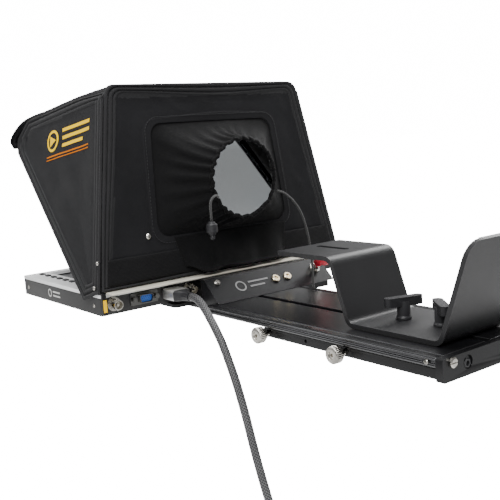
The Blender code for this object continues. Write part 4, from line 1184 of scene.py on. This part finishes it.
def make_thumbscrews():
    """Knurled nickel thumbscrews with a dished slot in the end."""
    for word in ("front_left", "front_right", "rear_left", "rear_right"):
        node = f"thumbscrew_{word}"
        low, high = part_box(node)
        side = -1 if word.endswith("left") else 1
        base = centre_of(node)
        base.x = high.x if side < 0 else low.x
        end, radius = (high.x - low.x) / MM, (high.z - low.z) / 2 / MM
        head = end - 10
        profile = [(0, 2.5), (head, 2.5), (head, 5.2), (head + 2.0, 5.4),
                   (head + 2.2, radius - 0.7), (head + 3.0, radius, 1), (end - 1.0, radius, 1),
                   (end - 0.2, radius - 0.8), (end, radius - 1.4), (end, 3.4), (end - 0.9, 3.0),
                   (end - 0.9, 1.6), (end - 2.6, 1.4), (end - 2.6, 0)]
        bm = turned(profile, base, (side, 0, 0), 4 * 30, flute=0.55)
        screw = fitting(f"{node}_knurled", bm, "steel", NODE_BODY[node], NODE_SLOT[node], 40)
        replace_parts(screw, node)


def make_release_knob():
    """Red pull knob with shallow grip flutes round its rim."""
    slope = Vector((0, 23.0, 22.2)).normalized()
    normal = Vector((0, -slope.z, slope.y))
    base = centre_of("release_knob") - normal * 7.6 * MM
    profile = [(0, 4.6), (0.6, 4.9), (3.5, 5.0), (5.0, 5.6), (6.4, 7.2), (7.8, 9.6), (8.8, 10.6, 1),
               (10.0, 11.0, 1), (11.6, 11.0, 1), (13.0, 10.9, 1), (14.0, 10.4), (14.8, 9.4),
               (15.2, 8.2), (15.0, 6.8), (14.7, 0)]
    bm = turned(profile, base, normal, 4 * 18, flute=0.7)
    knob = fitting("release_knob_fluted", bm, "red_plastic", "release_knob", angle=50)
    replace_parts(knob, "release_knob")


def make_bnc_details():
    """Bayonet lugs and the pale insulator inside each round video socket."""
    for word in ("in", "out"):
        node = f"bnc_socket_{word}"
        face = centre_of(node)
        face.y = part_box(node)[0].y
        bm = bmesh.new()
        for way in (-1, 1):
            base = face + Vector((0, 3.4 * MM, way * 4.6 * MM))
            turned([(0, 1.1), (0.9, 1.1), (1.2, 0.8)], base, (0, 0, way), 12, bm)
        fitting(f"bnc_lugs_{word}", bm, "steel", "monitor_head")
        base = face + Vector((0, 8.6 * MM, 0))
        ring = turned([(0, 3.7), (-3.2, 3.7), (-3.2, 1.6), (0, 1.6)], base, (0, 1, 0), 24)
        fitting(f"bnc_insulator_{word}", ring, "pale_plastic", "monitor_head")


def make_vga_holes():
    """Fifteen contact holes in three rows."""
    centre, face = centre_of("vga_insert"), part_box("vga_insert")[0].y
    bm = bmesh.new()
    for row, shift in ((-1, 0.0), (0, 1.14), (1, 0.0)):
        for k in range(5):
            x = centre.x + (2.29 * (k - 2) + shift - 0.4) * MM
            base = (x, face - 0.12 * MM, centre.z + row * 1.9 * MM)
            turned([(0, 0.42), (0.15, 0.42)], base, (0, 1, 0), 10, bm)
    fitting("vga_contacts", bm, "black_plastic", "monitor_head")


def pan_screw(bm, base, direction, radius):
    profile = [(0, radius), (0.5, radius), (1.1, radius * 0.75), (1.3, radius * 0.35),
               (0.7, radius * 0.3), (0.7, 0)]
    turned(profile, base, direction, 20, bm)


def make_fixings():
    """Small screws in the monitor's sides and the base, and bolts in the base's rear cap."""
    bm = bmesh.new()
    for side in (-1, 1):
        for y in (14.0, 176.0):
            pan_screw(bm, rig(side * (MONITOR_HALF - 0.1), y, 10.0), (side, 0, 0), 1.8)
    fitting("monitor_side_screws", bm, "steel", "monitor_head")
    cap, face = centre_of("rear_end_cap"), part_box("rear_end_cap")[0].y
    profile = [(0, 4.0), (2.2, 4.0), (2.7, 3.5), (2.7, 2.2), (0.9, 2.1), (0.9, 0)]
    bm = bmesh.new()
    for x in (-33.0, 33.0):
        turned(profile, (x * MM, face + 3.0 * MM, cap.z), (0, -1, 0), 6, bm)
    fitting("end_cap_bolts", bm, "black_plastic", "base_plate", "steel")
    bm = bmesh.new()
    for side in (-1, 1):
        pan_screw(bm, (side * 61.4 * MM, -92 * MM, 14.3 * MM), (side, 0, 0), 2.0)
    fitting("side_set_screws", bm, "steel", "base_plate")


def make_hardware():
    """Softened edges and real finishes for every CAD piece that keeps its shape."""
    # The edge looks are lighter copies of their finishes: painted highlights along the rounded
    # edges
    highlight_edge = "anodised_edge_highlight"
    for node, width, segments, edge in (
            ("tripod_plate", 0.7, 2, None), ("top_plate", 0.6, 2, highlight_edge),
            ("rear_end_cap", 0.7, 2, highlight_edge), ("head_bracket", 0.5, 2, highlight_edge),
            ("camera_riser", 0.8, 3, "powder_edge_highlight"), ("monitor_cradle", 0.5, 2, None),
            ("glass_frame", 0.5, 2, None), ("beamsplitter_glass", 0.3, 1, None),
            ("monitor_rear_shell", 0.35, 2, None), ("monitor_bezel", 0.5, 2, None),
            ("rear_ledge", 0.3, 2, None), ("t_handle_screw_front", 0.9, 3, None),
            ("t_handle_screw_rear", 0.9, 3, None)):
        refine(node, width=width, segments=segments, edge=edge)
    for _, word in SIDES:
        refine(f"hinge_bracket_{word}", width=0.4)
        refine(f"release_tab_{word}", width=0.25)
        dress(f"hinge_pin_{word}")
        dress(f"end_cap_screw_{word}")
    for node in frame["nodes"]:
        if node.startswith("menu_button"):
            refine(node, width=0.35)
    dress("vga_shell", "dark_steel")
    for node in ("ring_bolt_inner", "ring_bolt_outer", "bracket_screw", "plunger_barrel",
                 "bnc_socket_in", "bnc_socket_out", "vga_insert", "digital_socket", "hood_snap",
                 "lcd_panel", "controller_board"):
        dress(node)


# ---------------------------------------------------------------- studio


OBJECT_MIDDLE = Vector((0.0, 0.15, 0.1))


def area_light(name, location, size, watts):
    """A soft rectangular light that faces the middle of the object."""
    data = bpy.data.lights.new(name, "AREA")
    data.shape = "RECTANGLE"
    (data.size, data.size_y), data.energy = size, watts
    light = link_object(name, data)
    light.location = location
    light.rotation_mode = "QUATERNION"
    light.rotation_quaternion = (OBJECT_MIDDLE - Vector(location)).to_track_quat("-Z", "Y")


def seen_brighter(tree, dim, bright, target):
    """Set a strength that is bright where the camera sees it directly and dim as a light."""
    path = tree.nodes.new("ShaderNodeLightPath")
    strength = fill(tree.nodes.new("ShaderNodeMapRange"), To_Min=dim, To_Max=bright)
    tree.links.new(path.outputs["Is Camera Ray"], strength.inputs["Value"])
    tree.links.new(strength.outputs["Result"], target)


def make_studio():
    """Pale floor that runs out of sight, pale surroundings and four soft lights."""
    mesh = bpy.data.meshes.new("floor")
    size, level = 30.0, CAD_LOW.z - 0.05
    corners = [(x * size, y * size, level) for x, y in ((-1, -1), (1, -1), (1, 1), (-1, 1))]
    mesh.from_pydata(corners, [], [(0, 1, 2, 3)])
    pale = bpy.data.materials.new("floor_pale")
    pale.use_nodes = True
    shader = fill(pale.node_tree.nodes["Principled BSDF"], Base_Color=(0.8, 0.8, 0.8, 1),
                  Roughness=0.8, Emission_Color=(1, 1, 1, 1))
    seen_brighter(pale.node_tree, 0.0, BACKDROP, shader.inputs["Emission Strength"])
    mesh.materials.append(pale)
    link_object("floor", mesh)
    world = bpy.data.worlds.new("pale_studio")
    world.use_nodes = True
    background = fill(world.node_tree.nodes["Background"], Color=(1, 1, 1, 1))
    seen_brighter(world.node_tree, 0.4, BACKDROP, background.inputs["Strength"])
    bpy.context.scene.world = world
    area_light("key", (-1.5, -1.1, 1.7), (1.4, 1.0), 54.0)
    area_light("fill", (-0.9, 1.9, 1.0), (1.6, 1.2), 18.0)
    area_light("rim", (1.7, 0.5, 1.3), (1.0, 1.2), 36.0)
    area_light("overhead", (0.1, 0.2, 2.2), (1.2, 1.6), 56.0)


make_camera()
make_cable()
make_drawcords()
for hood_side, hood_word in SIDES:
    make_hood_side(hood_side, hood_word)
make_corner_rivets()
make_rear_panel()
make_lower_band()
make_shroud()
make_skirt()
make_hood_top()
make_side_marks()
make_small_marks()
make_thumbscrews()
make_release_knob()
make_bnc_details()
make_vga_holes()
make_fixings()
make_hardware()
make_studio()
